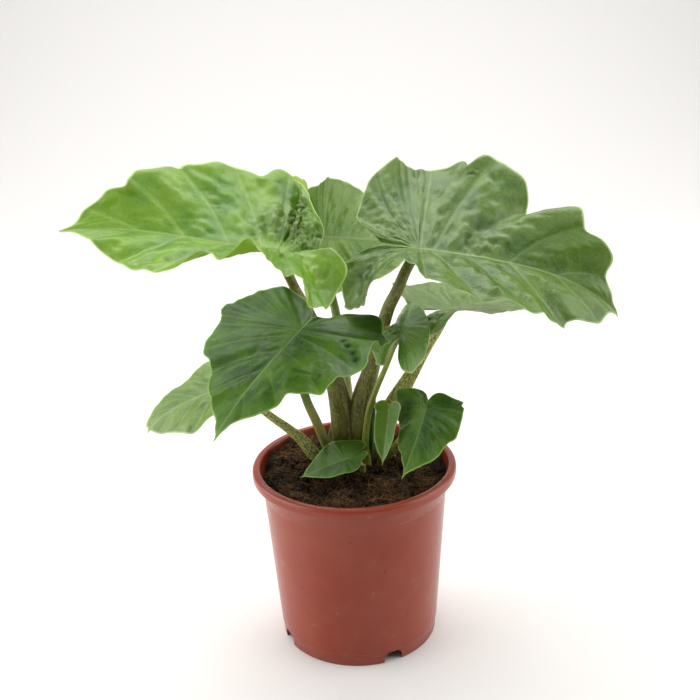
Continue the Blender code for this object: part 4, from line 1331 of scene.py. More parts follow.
STALKS = (
    Stalk(
        "crown", foot=(-6, 31, 9, 9), blade="blade_left", rind=Rind.OLIVE,
        path=(
            (-8, 29, 183, 10.5, 9), (-11, 26, 226, 10, 8), (-19, 18, 268, 7, 6), (-28, 8, 301, 5.5, 5),
            (-35, 0, 323, 4.8, 4.5), (-45, -10, 347, 4.4, 4.2),
        ),
        wings=rows_of(Wing, (200, 14, 0.12, 0.0, 0.5), (-60, 9, 0.2, 0.0, 0.42)),
    ),
    Stalk(
        "crown_right_fork", foot=(5, 31, 9, 9), blade="blade_right", rind=Rind.OLIVE,
        path=(
            (4, 29, 183, 10, 9), (10, 24, 226, 10.5, 8), (18, 20, 256, 8, 6.5), (26, 14, 286, 6.6, 5.6),
            (35, 3, 322, 5.8, 5), (44, -4, 343, 5.2, 4.8), (51, -1, 358, 4.8, 4.6),
        ),
        wings=rows_of(Wing, (-75, 9, 0.16, 0.0, 0.4)),
    ),
    Stalk(
        "stalk_front", foot=(-22, 29, 5, 5), blade="blade_front", rind=Rind.GREEN,
        path=(
            (-26, 23, 183, 4.8, 4.6), (-34, 6, 215, 4.4, 4.2), (-41, -8, 242, 4, 4),
            (-45, -26, 274, 3.8, 3.8), (-44, -45, 305, 3.6, 3.6),
        ),
        wings=rows_of(Wing, (-60, 12, 0.18, 0.0, 0.5)),
    ),
    Stalk(
        "stalk_low_left", foot=(-27, 14, 5, 4.5), blade="blade_low_left", rind=Rind.MOTTLED,
        path=(
            (-37, 11, 177, 6, 4.2), (-47, 7, 194, 5.5, 4), (-58, 2, 208, 4.4, 3.6),
            (-78, -5, 229, 3.6, 3.3), (-90, -11, 245, 3.2, 3.0),
        ),
        wings=rows_of(Wing, (-95, 13, 0.45, 0.05, 0.62), (-20, 11, 0.3, 0.05, 0.62)),
    ),
    Stalk(
        "stalk_back", foot=(2, 52, 5.5, 5), blade="blade_back", rind=Rind.GREEN,
        path=(
            (-2, 55, 183, 5.2, 5), (-4, 60, 222, 4.8, 4.6), (-8, 69, 265, 4.4, 4.2),
            (-12, 75, 294, 4.2, 4), (-18, 82, 327, 3.8, 3.8),
        ),
    ),
    Stalk(
        "stalk_right_back", foot=(23, 36, 6.5, 5.5), blade="blade_right_back", rind=Rind.MOTTLED,
        path=(
            (27, 36, 179, 7, 5.4), (37, 38, 208, 9, 5), (51, 42, 232, 7.5, 4.5), (72, 47, 265, 4.2, 4),
            (85, 50, 286, 4, 3.8),
        ),
        wings=rows_of(Wing, (-150, 10, 0.32, 0.05, 0.72), (-50, 10, 0.3, 0.05, 0.72)),
    ),
    Stalk(
        "stalk_middle", foot=(13, 14, 3.4, 3.2), blade="blade_middle", rind=Rind.LIME,
        path=(
            (11, 12, 185, 3.2, 3), (15, 5, 221, 3, 2.9), (22, -4, 247, 2.7, 2.7),
            (32, -16, 276, 2.4, 2.4), (39, -24, 297, 2.2, 2.2),
        ),
    ),
    Stalk(
        "stalk_low_right", foot=(35, 22, 5, 4.5), blade="blade_low_right", rind=Rind.MOTTLED,
        path=((39, 17, 178, 4.4, 4), (48, 3, 199, 3.4, 3.2), (58, -14, 224, 2.6, 2.5)),
        wings=rows_of(Wing, (-60, 13, 0.3, 0.0, 0.5)),
    ),
    Stalk(
        "stalk_young", foot=(25, 19, 2.6, 2.6), blade="blade_young", rind=Rind.LIME,
        path=((26, 16, 179, 2.4, 2.4), (30, 7, 199, 2, 2), (33, -2, 217, 1.8, 1.8)),
    ),
    Stalk(
        "stalk_seedling", foot=(8, -1, 2.6, 2.6), blade="blade_seedling", rind=Rind.GREEN,
        path=((5, -6, 175, 2.2, 2.2),),
    ),
    Stalk(
        "rolled_leaf", foot=(15, 25, 2.6, 2.6), rind=Rind.SPEAR, rolled=0.3,
        path=((16, 22, 185, 3.2, 2.8), (19, 17, 212, 2.6, 2.4), (22, 15, 232, 0.5, 0.5)),
    ),
    Stalk(
        "dry_sheath", foot=(-21, 42, 2.4, 1.8), rind=Rind.DRY, rolled=0.4,
        path=((-22, 42, 181, 2.2, 1.5), (-20, 43, 196, 0.5, 0.5)),
    ),
)

SOIL_TOP = 0.1635
SOIL_EDGE = 0.1650
HOLE_DEPTH = 0.014
STEM_STRAIGHT = 0.007
UPRIGHT = Vector((0, 0, 1))


@dataclass
class Tube:
    """A stalk as a closed tube with an oval section, flanges and a top laid under its blade."""

    stalk: Stalk
    sides: int = 40
    rings: int = 96
    sink: float = 0.00025
    stride: float = 0.002
    upright_length: float = 0.01
    seat_length: float = 0.012
    probe: float = 0.03
    wing_rise: float = 0.06
    wing_fall: float = 0.15
    spiral: float = 0.35

    def centre_line(self) -> Array:
        """The stalk's course, from where its foot leaves the soil.

        Returns:
            Rows of (travelled, x, y, z, half width, half depth), in metres.
        """
        x, y, wide, deep = self.stalk.foot
        rows = [(x, y, (SOIL_TOP + STEM_STRAIGHT) / MM, wide, deep), *self.stalk.path]
        if self.stalk.blade:
            leaf = next(item for item in LEAVES if item.name == self.stalk.blade)
            rows.append((*leaf.attach, rows[-1][3], rows[-1][4]))
        table = np.array(rows, float) * MM
        steps = np.linalg.norm(np.diff(table[:, :3], axis=0), axis=1)
        return np.column_stack([np.concatenate([[0], np.cumsum(steps)]), table])

    def section(self, angles: Array, share: float) -> Array:
        """Radius factor round the section.

        Args:
            angles: Angles round the stalk, in radians.
            share: How far up the stalk, from 0 to 1.

        Returns:
            The factor at each angle.
        """
        factor = np.ones_like(angles)
        for wing in self.stalk.wings:
            turn = np.angle(np.exp(1j * (angles - math.radians(wing.angle))))
            rise = smoothstep((share - wing.start) / self.wing_rise)
            rise *= smoothstep((wing.end - share) / self.wing_fall)
            factor = factor + wing.height * rise * bell(turn, math.radians(wing.width))
        if self.stalk.rolled:
            wound = (angles / FULL_TURN + self.spiral * share) % 1.0
            factor = factor * (1 + self.stalk.rolled * (wound - 0.5))
        return factor

    def axes(self, stop: float, table: Array) -> tuple[Vector, Vector, Vector]:
        """The directions across, in depth of and along the stalk.

        Args:
            stop: How far up the stalk, in metres.
            table: The centre line.

        Returns:
            Three unit vectors.
        """
        if stop <= 0:
            return Vector((1, 0, 0)), Vector((0, 1, 0)), UPRIGHT
        ahead = hermite(np.array(min(stop + self.stride, table[-1, 0])), table)[:3]
        behind = hermite(np.array(max(stop - self.stride, 0.0)), table)[:3]
        leaning = float(smoothstep(stop / self.upright_length))
        along = UPRIGHT.lerp(Vector(ahead - behind).normalized(), leaning).normalized()
        across = Vector((0, 1, 0)).cross(along).normalized()
        return across, along.cross(across), along

    def build(self, trees: dict[str, BVHTree]) -> bpy.types.Object:
        """The tube's mesh.

        Args:
            trees: The fine blades by node name, for the stalk's top to be laid against.

        Returns:
            The object, with its sleeve UV map and numbers along it.
        """
        table = self.centre_line()
        angles = np.arange(self.sides) * FULL_TURN / self.sides
        length = table[-1, 0]
        foot = [-HOLE_DEPTH - STEM_STRAIGHT, -STEM_STRAIGHT]
        stops = np.concatenate([foot, np.linspace(0, length, self.rings)])
        rings, widths = [], []
        tree = trees.get(self.stalk.blade)
        for stop in stops:
            at = hermite(np.array(max(stop, 0.0)), table)
            centre = Vector(at[:3]) + Vector((0, 0, min(stop, 0.0)))
            wide, deep = at[3:]
            across, depth, along = self.axes(stop, table)
            factor = self.section(angles, max(0.0, stop / length))
            ring = [
                centre + (across * wide * math.cos(a) + depth * deep * math.sin(a)) * f
                for a, f in zip(angles, factor)
            ]
            if tree and length - stop < self.seat_length:
                topmost = 1 - (length - stop) / self.seat_length > 0.999
                ring = [self.under(point, along, tree, topmost) for point in ring]
            rings.append(ring)
            widths.append(wide)
        return self.mesh(rings, stops, angles, widths)

    def under(self, point: Vector, along: Vector, tree: BVHTree, topmost: bool) -> Vector:
        """The point held below the blade.

        Args:
            point: A point of the tube.
            along: The stalk's direction there.
            tree: The blade.
            topmost: Whether it belongs to the last ring, which is laid against the blade.

        Returns:
            Where the point goes.
        """
        place, _, _, _ = tree.ray_cast(point - along * self.probe, along, 2 * self.probe)
        if place is None:
            return point
        limit = place + along * self.sink
        return limit if topmost or (point - limit).dot(along) > 0 else point

    def mesh(self, rings: list, stops: Array, angles: Array, widths: list) -> bpy.types.Object:
        """Rings of points made into a capped tube with its material.

        Args:
            rings: Points round the tube at each stop.
            stops: How far up the stalk each ring lies.
            angles: The angles round each ring.
            widths: The half width at each stop.

        Returns:
            The object.
        """
        count, sides = len(rings), self.sides
        points = np.array([tuple(point) for ring in rings for point in ring])
        middles = [points[:sides].mean(axis=0), points[-sides:].mean(axis=0)]
        index = np.arange(count * sides).reshape(count, sides)
        caps = [fan(index[0], count * sides, turned=True), fan(index[-1], count * sides + 1)]
        faces = np.concatenate([ring_faces(index), *caps])
        obj = mesh_object(f"{self.stalk.name}_fine", np.concatenate([points, middles]), faces)
        along = np.clip(np.repeat(stops, sides) / stops[-1], 0, 1)
        wings = np.array([self.section(angles, max(0.0, stop / stops[-1])) for stop in stops]).reshape(-1)
        keep_number(obj, "along", np.concatenate([along, [0, 1]]))
        keep_number(obj, "wing", np.concatenate([np.clip((wings - 1.12) / 0.3, 0, 1), [0, 0]]))
        around = np.minimum(angles, FULL_TURN - angles)
        sleeve = np.stack([np.tile(around, count) * np.repeat(widths, sides), np.repeat(stops, sides)], -1)
        keep_uv(obj, "sleeve", np.concatenate([sleeve, [[0, 0], [0, stops[-1]]]]) * UV_SCALE)
        obj.data.materials.append(finish_of(self.stalk.rind.value))
        return obj


def held_in_box(points: Array, ease: float = 4 * MM, spare: float = 1 * MM) -> Array:
    """The points eased back inside the solid model's box.

    Args:
        points: Rows of x, y and z.
        ease: How near the box's sides the easing starts.
        spare: The least distance from the sides.

    Returns:
        The points, moved only where they lay within `ease` of a side or past it.
    """
    low, high = np.array(CAD_BOX[0]), np.array(CAD_BOX[1])
    above, below = points - (high - ease), (low + ease) - points
    room = ease - spare
    points = np.where(above > 0, high - ease + room * (1 - np.exp(-above / room)), points)
    return np.where(below > 0, low + ease - room * (1 - np.exp(-below / room)), points)


def mesh_object(name: str, points: Array, faces: Array) -> bpy.types.Object:
    """A smooth-shaded mesh object, linked at the origin.

    Args:
        name: The object's name.
        points: One row of x, y, z for each vertex.
        faces: One row of vertex numbers for each triangle.

    Returns:
        The new object.
    """
    mesh = bpy.data.meshes.new(name)
    mesh.from_pydata(points.tolist(), [], faces.tolist())
    mesh.update()
    obj = bpy.data.objects.new(name, mesh)
    bpy.context.scene.collection.objects.link(obj)
    mesh.shade_smooth()
    return obj


def keep_number(obj: bpy.types.Object, name: str, values: Array) -> None:
    """Stores one number for each vertex, for the material to read."""
    attribute = obj.data.attributes.new(name, "FLOAT", "POINT")
    attribute.data.foreach_set("value", np.asarray(values, np.float32))


def keep_uv(obj: bpy.types.Object, name: str, places: Array) -> None:
    """Stores a UV map.

    Args:
        obj: The object.
        name: The map's name.
        places: One row of two numbers for each vertex.
    """
    corners = np.empty(len(obj.data.loops), np.int32)
    obj.data.loops.foreach_get("vertex_index", corners)
    layer = obj.data.uv_layers.new(name=name)
    layer.uv.foreach_set("vector", np.asarray(places, np.float32)[corners].reshape(-1))


def finish_of(finish: Any) -> bpy.types.Material:
    """The finish's material, made on first use."""
    return bpy.data.materials.get(finish.name) or finish.material()


def dress(obj: bpy.types.Object, slot: str, *nodes: str) -> None:
    """Rides the piece on the plant, and hides the imported nodes that it stands for.

    Args:
        obj: The piece.
        slot: The material slot that it shows; not used.
        nodes: The nodes that it stands for, if any.
    """
    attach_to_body(obj, "root")
    if nodes:
        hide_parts(*nodes)
    log.info("%s: %d faces", obj.name, len(obj.data.polygons))


def plain_mesh(obj: bpy.types.Object) -> None:
    """Applies the object's modifiers, so that it is a plain mesh.

    Args:
        obj: The object, whose mesh is replaced.
    """
    graph = bpy.context.evaluated_depsgraph_get()
    mesh = bpy.data.meshes.new_from_object(obj.evaluated_get(graph), depsgraph=graph)
    obj.modifiers.clear()
    obj.data = mesh


def combine(first: bpy.types.Object, second: bpy.types.Object, operation: str) -> None:
    """Cuts the second solid from the first, or joins it on, and removes it.

    Args:
        first: The object that stays.
        second: The object that goes.
        operation: DIFFERENCE or UNION.
    """
    modifier = first.modifiers.new("Combine", "BOOLEAN")
    modifier.operation = operation
    modifier.solver = "EXACT"
    modifier.object = second
    plain_mesh(first)
    bpy.data.objects.remove(second, do_unlink=True)


class GeometryTree:
    """A Geometry Nodes group, its named inputs, and the nodes between them."""

    def __init__(self, name: str) -> None:
        """Starts a group with a geometry input and output.

        Args:
            name: The group's name.
        """
        self.group = bpy.data.node_groups.new(name, "GeometryNodeTree")
        self.sockets: dict[str, str] = {}
        self.group.interface.new_socket("Geometry", in_out="INPUT", socket_type="NodeSocketGeometry")
        self.group.interface.new_socket("Geometry", in_out="OUTPUT", socket_type="NodeSocketGeometry")
        self.start = self.group.nodes.new("NodeGroupInput")
        self.end = self.group.nodes.new("NodeGroupOutput")

    def input(self, name: str, kind: str) -> bpy.types.NodeSocket:
        """Adds a named input.

        Args:
            name: The input's name.
            kind: What it holds: Float, Int or Material.

        Returns:
            The socket that it feeds inside the group.
        """
        made = self.group.interface.new_socket(name, in_out="INPUT", socket_type=f"NodeSocket{kind}")
        self.sockets[name] = made.identifier
        return next(s for s in self.start.outputs if s.identifier == made.identifier)

    def node(self, kind: str, settings: dict[str, Any], inputs: dict[Any, Any], output: Any = 0) -> Any:
        """Adds a node.

        Args:
            kind: The node's type.
            settings: Its properties, set first.
            inputs: Values or sockets by socket name or number.
            output: The name or number of the output to return.

        Returns:
            The output socket.
        """
        made = self.group.nodes.new(kind)
        for key, value in settings.items():
            setattr(made, key, value)
        for key, value in inputs.items():
            if isinstance(value, bpy.types.NodeSocket):
                self.group.links.new(value, made.inputs[key])
            else:
                made.inputs[key].default_value = value
        return made.outputs[output]

    def finish(self, geometry: bpy.types.NodeSocket, material: bpy.types.NodeSocket) -> None:
        """Realises the instances, sets their material and ends the group.

        Args:
            geometry: The instances.
            material: Their material.
        """
        real = self.node("GeometryNodeRealizeInstances", {}, {"Geometry": geometry})
        dressed = self.node("GeometryNodeSetMaterial", {}, {"Geometry": real, "Material": material})
        self.group.links.new(dressed, self.end.inputs[0])

    def apply(self, obj: bpy.types.Object, values: dict[str, Any]) -> None:
        """Runs the group on an object and keeps the result as its mesh.

        Args:
            obj: The object.
            values: The group's inputs by name.
        """
        modifier = obj.modifiers.new(self.group.name, "NODES")
        modifier.node_group = self.group
        for name, value in values.items():
            modifier[self.sockets[name]] = value
        plain_mesh(obj)


Shape = Callable[[GeometryTree], bpy.types.NodeSocket]


def scatter_tree(name: str, make: Shape) -> GeometryTree:
    """A group that strews small shapes over a surface.

    Args:
        name: The group's name.
        make: Adds the shape's nodes to the group and returns its geometry socket.

    Returns:
        The group, with inputs Density, Smallest, Largest, Tilt, Seed and Material.
    """
    tree = GeometryTree(name)
    density, smallest, largest, tilt = (
        tree.input(label, "Float") for label in ("Density", "Smallest", "Largest", "Tilt")
    )
    seed = tree.input("Seed", "Int")
    material = tree.input("Material", "Material")
    times = {"operation": "MULTIPLY"}
    one_number = {"data_type": "FLOAT"}
    matted = tree.node("GeometryNodeInputNamedAttribute", one_number, {"Name": "matted"})
    thick = tree.node("ShaderNodeMath", times, {0: matted, 1: density})
    spread = {"Mesh": tree.start.outputs[0], "Density": thick, "Seed": seed}
    points = tree.node("GeometryNodeDistributePointsOnFaces", {}, spread)
    size = tree.node("FunctionNodeRandomValue", one_number, {2: smallest, 3: largest, "Seed": seed}, 1)
    back = tree.node("ShaderNodeMath", times, {0: tilt, 1: -1.0})
    low = tree.node("ShaderNodeCombineXYZ", {}, {0: back, 1: back, 2: 0.0})
    high = tree.node("ShaderNodeCombineXYZ", {}, {0: tilt, 1: tilt, 2: FULL_TURN})
    way = {"data_type": "FLOAT_VECTOR"}
    turn = tree.node("FunctionNodeRandomValue", way, {0: low, 1: high, "Seed": seed})
    placed = {"Points": points, "Instance": make(tree), "Rotation": turn, "Scale": size}
    strewn = tree.node("GeometryNodeInstanceOnPoints", {}, placed)
    tone = tree.node("FunctionNodeRandomValue", one_number, {2: 0.0, 3: 1.0, "Seed": seed}, 1)
    toned = tree.node(
        "GeometryNodeStoreNamedAttribute",
        {"data_type": "FLOAT", "domain": "INSTANCE"},
        {"Geometry": strewn, "Name": "tone", "Value": tone},
    )
    tree.finish(toned, material)
    return tree


def fibre_shape(tree: GeometryTree) -> bpy.types.NodeSocket:
    """A thin bent strand, one unit long.

    Args:
        tree: The group that gets its nodes.

    Returns:
        Its geometry socket.
    """
    start, middle, end = (-0.5, 0.0, 0.0), (0.05, 0.32, 0.10), (0.5, -0.05, 0.02)
    course = {"Resolution": 6, "Start": start, "Middle": middle, "End": end}
    bend = tree.node("GeometryNodeCurveQuadraticBezier", {}, course)
    section = tree.node("GeometryNodeCurvePrimitiveCircle", {}, {"Resolution": 3, "Radius": 0.009})
    swept = {"Curve": bend, "Profile Curve": section, "Fill Caps": True}
    return tree.node("GeometryNodeCurveToMesh", {}, swept)


def crumb_shape(tree: GeometryTree) -> bpy.types.NodeSocket:
    """A rough lump of soil, one unit in radius.

    Args:
        tree: The group that gets its nodes.

    Returns:
        Its geometry socket.
    """
    lump = tree.node("GeometryNodeMeshIcoSphere", {}, {"Radius": 1.0, "Subdivisions": 1})
    noise = tree.node("ShaderNodeTexNoise", {}, {"Scale": 1.7, "Detail": 2.0}, "Color")
    centred = tree.node("ShaderNodeVectorMath", {"operation": "SUBTRACT"}, {0: noise, 1: (0.5, 0.5, 0.5)})
    pushed = tree.node("ShaderNodeVectorMath", {"operation": "SCALE"}, {0: centred, "Scale": 1.5})
    return tree.node("GeometryNodeSetPosition", {}, {"Geometry": lump, "Offset": pushed})


# The rim's rounded section in mm: in from its radius and up from its foot, in and down from the
# top, and out from its inner radius and down from the top.
RIM_FOOT = ((1.2, 0.0), (0.4, 0.3), (0.1, 1.0), (0.0, 4.5))
RIM_SHOULDER = ((0.2, 2.6), (0.8, 1.2), (2.0, 0.3), (3.5, 0.0))
RIM_LIP = ((1.4, 0.0), (0.5, 0.3), (-0.2, 1.2), (-0.7, 2.6))


@dataclass
class Pot:
    """The turned plastic pot: tapered body, rolled rim, stacking shoulder and notched skirt."""

    height: float = 0.1746
    foot_radius: float = 0.0744
    taper: float = 0.0735
    wall: float = 0.0016
    rim_radius: float = 0.095
    rim_depth: float = 0.0095
    rim_inner_radius: float = 0.0880
    shoulder_height: float = 0.1495
    shoulder_step: float = 0.0008
    skirt_height: float = 0.0120
    skirt_step: float = 0.0006
    floor_underside: float = 0.0118
    floor_top: float = 0.0136
    inner_top: float = 0.160
    notch_width: float = 0.0195
    notch_height: float = 0.0110
    notch_depth: float = 0.03
    notch_round: float = 0.0025
    notch_narrowing: float = 0.86
    notch_angles: tuple = (-66.0, -156.0, 24.0, 114.0)
    sides: int = 240
    finish: PotFinish = field(default_factory=PotFinish)

    def radius(self, height: float) -> float:
        """Outer radius of the tapered body at a height."""
        return self.foot_radius + self.taper * height

    def profile(self) -> list[tuple[float, float]]:
        """The turned outline, with its corners rounded by tenths of a millimetre.

        Returns:
            Radii and heights, from the axis under the floor, round the outside, to the axis inside.
        """
        skirt = self.radius(self.skirt_height) - self.skirt_step
        foot = self.foot_radius - self.skirt_step
        under = self.height - self.rim_depth
        rim, inner, top, shoulder = self.rim_radius, self.rim_inner_radius, self.height, self.shoulder_height
        outside = np.linspace(self.skirt_height + 0.002, shoulder - 0.001, 14)
        inside = np.linspace(self.inner_top, self.floor_top + 0.0015, 10)
        return [
            (0.0, self.floor_underside),
            (skirt - self.wall - 0.001, self.floor_underside),
            (skirt - self.wall, self.floor_underside - 0.001),
            (foot - self.wall, 0.0003),
            (foot - self.wall + 0.0003, 0.0),
            (foot - 0.0005, 0.0),
            (foot, 0.0005),
            (skirt, self.skirt_height - 0.0004),
            (skirt + 0.0001, self.skirt_height),
            (self.radius(self.skirt_height) - 0.0001, self.skirt_height + 0.0005),
            (self.radius(self.skirt_height), self.skirt_height + 0.0009),
            *((self.radius(z), z) for z in outside),
            (self.radius(shoulder), shoulder),
            (self.radius(shoulder) + 0.0005, shoulder + 0.0004),
            (self.radius(shoulder) + self.shoulder_step, shoulder + 0.0012),
            (self.radius(under) + self.shoulder_step, under - 0.0008),
            (self.radius(under) + self.shoulder_step + 0.0007, under),
            *((rim - inward * MM, under + above * MM) for inward, above in RIM_FOOT),
            *((rim - inward * MM, top - below * MM) for inward, below in RIM_SHOULDER),
            *((inner + outward * MM, top - below * MM) for outward, below in RIM_LIP),
            *((self.radius(z) - self.wall, z) for z in inside),
            (self.radius(self.floor_top) - self.wall - 0.0015, self.floor_top),
            (0.0, self.floor_top),
        ]

    def build(self) -> bpy.types.Object:
        """The pot's mesh with its notches cut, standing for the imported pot.

        Returns:
            The piece.
        """
        profile = np.array(self.profile())
        inner = profile[1:-1]
        angles = np.arange(self.sides) * FULL_TURN / self.sides
        ring = np.stack([np.cos(angles), np.sin(angles)], -1)
        points = [np.concatenate([ring * radius, np.full((self.sides, 1), z)], 1) for radius, z in inner]
        points = np.concatenate([*points, [(0, 0, profile[0, 1]), (0, 0, profile[-1, 1])]])
        index = np.arange(len(inner) * self.sides).reshape(len(inner), self.sides)
        last = len(points) - 1
        faces = [ring_faces(index), fan(index[0], last - 1, turned=True), fan(index[-1], last)]
        pot = mesh_object("pot_fine", points, np.concatenate(faces))
        for angle in self.notch_angles:
            combine(pot, self.notch(math.radians(angle)), "DIFFERENCE")
        pot.data.set_sharp_from_angle(angle=math.radians(50))
        self.weather(pot)
        pot.data.materials.clear()
        pot.data.materials.append(finish_of(self.finish))
        dress(pot, self.finish.slot, "pot")
        return pot

    def weather(self, pot: bpy.types.Object) -> None:
        """Marks where the pot is worn, at its rim and foot, and where its inner wall below the rim gets
        painted shade.

        Args:
            pot: The pot's object.
        """
        heights = np.array([v.co.z for v in pot.data.vertices])
        radii = np.array([math.hypot(v.co.x, v.co.y) for v in pot.data.vertices])
        top = heights > self.height - 0.003
        rim_edge = bell(radii - self.rim_radius + 0.001, 0.0012) * top
        foot = bell(heights, 0.004)
        keep_number(pot, "worn", np.clip(rim_edge * 0.5 + foot * 0.6, 0, 1))
        # The inner wall darkens from just below the rim downwards: painted shade.
        wall_middle = self.radius(heights) - self.wall / 2
        inside = (radii < wall_middle) & (heights > self.floor_top) & (heights < self.height - 0.003)
        keep_number(pot, "inner_wall_shade", np.where(inside, smoothstep((self.height - 0.002 - heights) / 0.006), 0))

    def notch(self, angle: float) -> bpy.types.Object:
        """A cutter for one drainage notch of the skirt.

        Args:
            angle: Where round the pot it lies, in radians.

        Returns:
            The cutter.
        """
        bm = bmesh.new()
        bmesh.ops.create_cube(bm, size=1.0)
        box = (self.notch_depth, self.notch_width, 2 * self.notch_height)
        bmesh.ops.scale(bm, vec=box, verts=bm.verts)
        top = [v for v in bm.verts if v.co.z > 0]
        bmesh.ops.scale(bm, vec=(1.0, self.notch_narrowing, 1.0), verts=top)
        upper = [e for e in bm.edges if all(v.co.z > 0 for v in e.verts)]
        outward = [e for e in upper if abs(e.verts[0].co.x - e.verts[1].co.x) > 0.01]
        bmesh.ops.bevel(bm, geom=outward, offset=self.notch_round, segments=4, affect="EDGES")
        bmesh.ops.translate(bm, vec=(self.foot_radius, 0, 0), verts=bm.verts)
        bmesh.ops.rotate(bm, cent=(0, 0, 0), matrix=Matrix.Rotation(angle, 3, "Z"), verts=bm.verts)
        mesh = bpy.data.meshes.new("notch_cutter")
        bm.to_mesh(mesh)
        bm.free()
        cutter = bpy.data.objects.new("notch_cutter", mesh)
        bpy.context.scene.collection.objects.link(cutter)
        return cutter


@dataclass(frozen=True)
class Litter:
    """Loose pieces strewn over the soil: how many to a square metre, how large, how tilted."""

    shape: Shape
    finish: SoilFinish
    density: float
    smallest: float
    largest: float
    tilt: float
    seed: int


CRUMBS = Litter(
    crumb_shape,
    SoilFinish("soil_crumbs", dark=(0.003, 0.0015, 0.001), pale=(0.070, 0.034, 0.014)),
    density=130000.0, smallest=0.0006, largest=0.0026, tilt=3.0, seed=5,
)
FIBRES = Litter(
    fibre_shape,
    SoilFinish("coir_fibres", dark=(0.012, 0.006, 0.002), pale=(0.40, 0.205, 0.075), roughness=0.75),
    density=150000.0, smallest=0.0035, largest=0.0190, tilt=0.45, seed=8,
)


@dataclass
class Soil:
    """The potting mix: a clumped surface, loose crumbs and coir fibres."""

    pot: Pot
    rings: int = 96
    sides: int = 288
    gap: float = 0.0004
    wave_seed: int = 7
    waves: int = 14
    lump: float = 0.0016
    clump: float = 0.0034
    clump_pitch: float = 0.0085
    clump_seed: int = 11
    grit: float = 0.0005
    grit_pitch: float = 0.0016
    grit_seed: int = 12
    bank_start: float = 0.045
    bank_width: float = 0.04
    heap: float = 0.006
    heap_place: tuple = (-0.05, 0.035)
    heap_reach: float = 0.03
    stems_place: tuple = (0.005, 0.025)
    stems_reach: float = 0.03
    litter_reach: float = 0.0815
    litter_patch: float = 0.016
    litter_front: float = -0.02

    def height(self, x: Array, y: Array) -> Array:
        """Height of the surface: broad waves, a bank at the wall, a heap at the back left.

        Args:
            x: Places across the pot.
            y: Places from its front to its back.

        Returns:
            The height at each place.
        """
        rng = np.random.default_rng(self.wave_seed)
        height = np.zeros_like(x)
        for _ in range(self.waves):
            heading = rng.uniform(0, FULL_TURN)
            wave = rng.uniform(90, 330)
            phase = rng.uniform(0, FULL_TURN)
            travelled = x * math.cos(heading) + y * math.sin(heading)
            height += np.sin(wave * travelled + phase) / self.waves**0.5
        bank = smoothstep((np.hypot(x, y) - self.bank_start) / self.bank_width)
        heap_x, heap_y = self.heap_place
        heap = self.heap * np.exp(-((x - heap_x) ** 2 + (y - heap_y) ** 2) / self.heap_reach**2)
        stems_x, stems_y = self.stems_place
        free = smoothstep((np.hypot(x - stems_x, y - stems_y) - self.stems_reach) / 0.02)
        rise = bank * (SOIL_EDGE - SOIL_TOP) + free * heap
        return SOIL_TOP + rise + self.lump * height * (0.35 + 0.65 * free)

    def surface(self) -> tuple[Array, Array]:
        """The clumped top, ring by ring from the middle.

        Returns:
            Its points and its faces.
        """
        outer = self.pot.radius(SOIL_EDGE) - self.pot.wall - self.gap
        angles = np.arange(self.sides) * FULL_TURN / self.sides
        radius, angle = np.meshgrid(np.linspace(0.0008, outer, self.rings), angles, indexing="ij")
        x, y = radius * np.cos(angle), radius * np.sin(angle)
        z = self.height(x, y)
        clumps, grit = Noise(self.clump_seed), Noise(self.grit_seed)
        z += self.clump * clumps.fractal(x / self.clump_pitch + 30, y / self.clump_pitch + 30, 3)
        z += self.grit * grit.fractal(x / self.grit_pitch, y / self.grit_pitch)
        faces = ring_faces(np.arange(x.size).reshape(x.shape), turned=True)
        return np.stack([x, y, z], -1).reshape(-1, 3), faces

    def build(self) -> list[bpy.types.Object]:
        """The body of soil, its crumbs and its fibres.

        Returns:
            The pieces.
        """
        points, faces = self.surface()
        bottom = self.pot.floor_top + self.gap
        inner = self.pot.radius(bottom) - self.pot.wall - self.gap
        angles = np.arange(self.sides) * FULL_TURN / self.sides
        floor = np.stack([inner * np.cos(angles), inner * np.sin(angles), np.full(self.sides, bottom)], -1)
        count = len(points)
        middle = points[: self.sides].mean(axis=0)
        every = np.concatenate([points, floor, [middle, (0, 0, bottom)]])
        rim, foot = np.arange(count - self.sides, count), np.arange(count, count + self.sides)
        top, base = count + self.sides, count + self.sides + 1
        near, far = np.roll(rim, -1), np.roll(foot, -1)
        walls = split_quads(rim, foot, far, near)
        caps = [fan(np.arange(self.sides), top), fan(foot, base, turned=True)]
        body = mesh_object("soil_fine", every, np.concatenate([faces, walls, *caps]))
        body.data.materials.append(finish_of(SoilFinish("damp_potting_mix")))
        dress(body, "soil", "soil")
        return [body, self.strew("soil_crumbs", CRUMBS), self.strew("coir_fibres", FIBRES)]

    def strew(self, name: str, litter: Litter) -> bpy.types.Object:
        """Loose pieces over the soil's surface, matted in patches and towards the front.

        Args:
            name: The new piece's name.
            litter: What is strewn.

        Returns:
            The piece.
        """
        points, faces = self.surface()
        x, y = points[:, 0], points[:, 1]
        reach = np.hypot(x, y)[faces].max(axis=1)
        obj = mesh_object(name, points, faces[reach < self.litter_reach])
        patches = Noise(litter.seed).fractal(x / self.litter_patch + 20, y / self.litter_patch + 20)
        front = smoothstep((self.litter_front - y) / 0.03)
        keep_number(obj, "matted", np.clip(0.55 + 1.6 * patches + 0.5 * front, 0.08, 1.6))
        values = {
            "Density": litter.density,
            "Smallest": litter.smallest,
            "Largest": litter.largest,
            "Tilt": litter.tilt,
            "Seed": litter.seed,
            "Material": finish_of(litter.finish),
        }
        scatter_tree(f"Strewn {name}", litter.shape).apply(obj, values)
        dress(obj, "soil")
        return obj


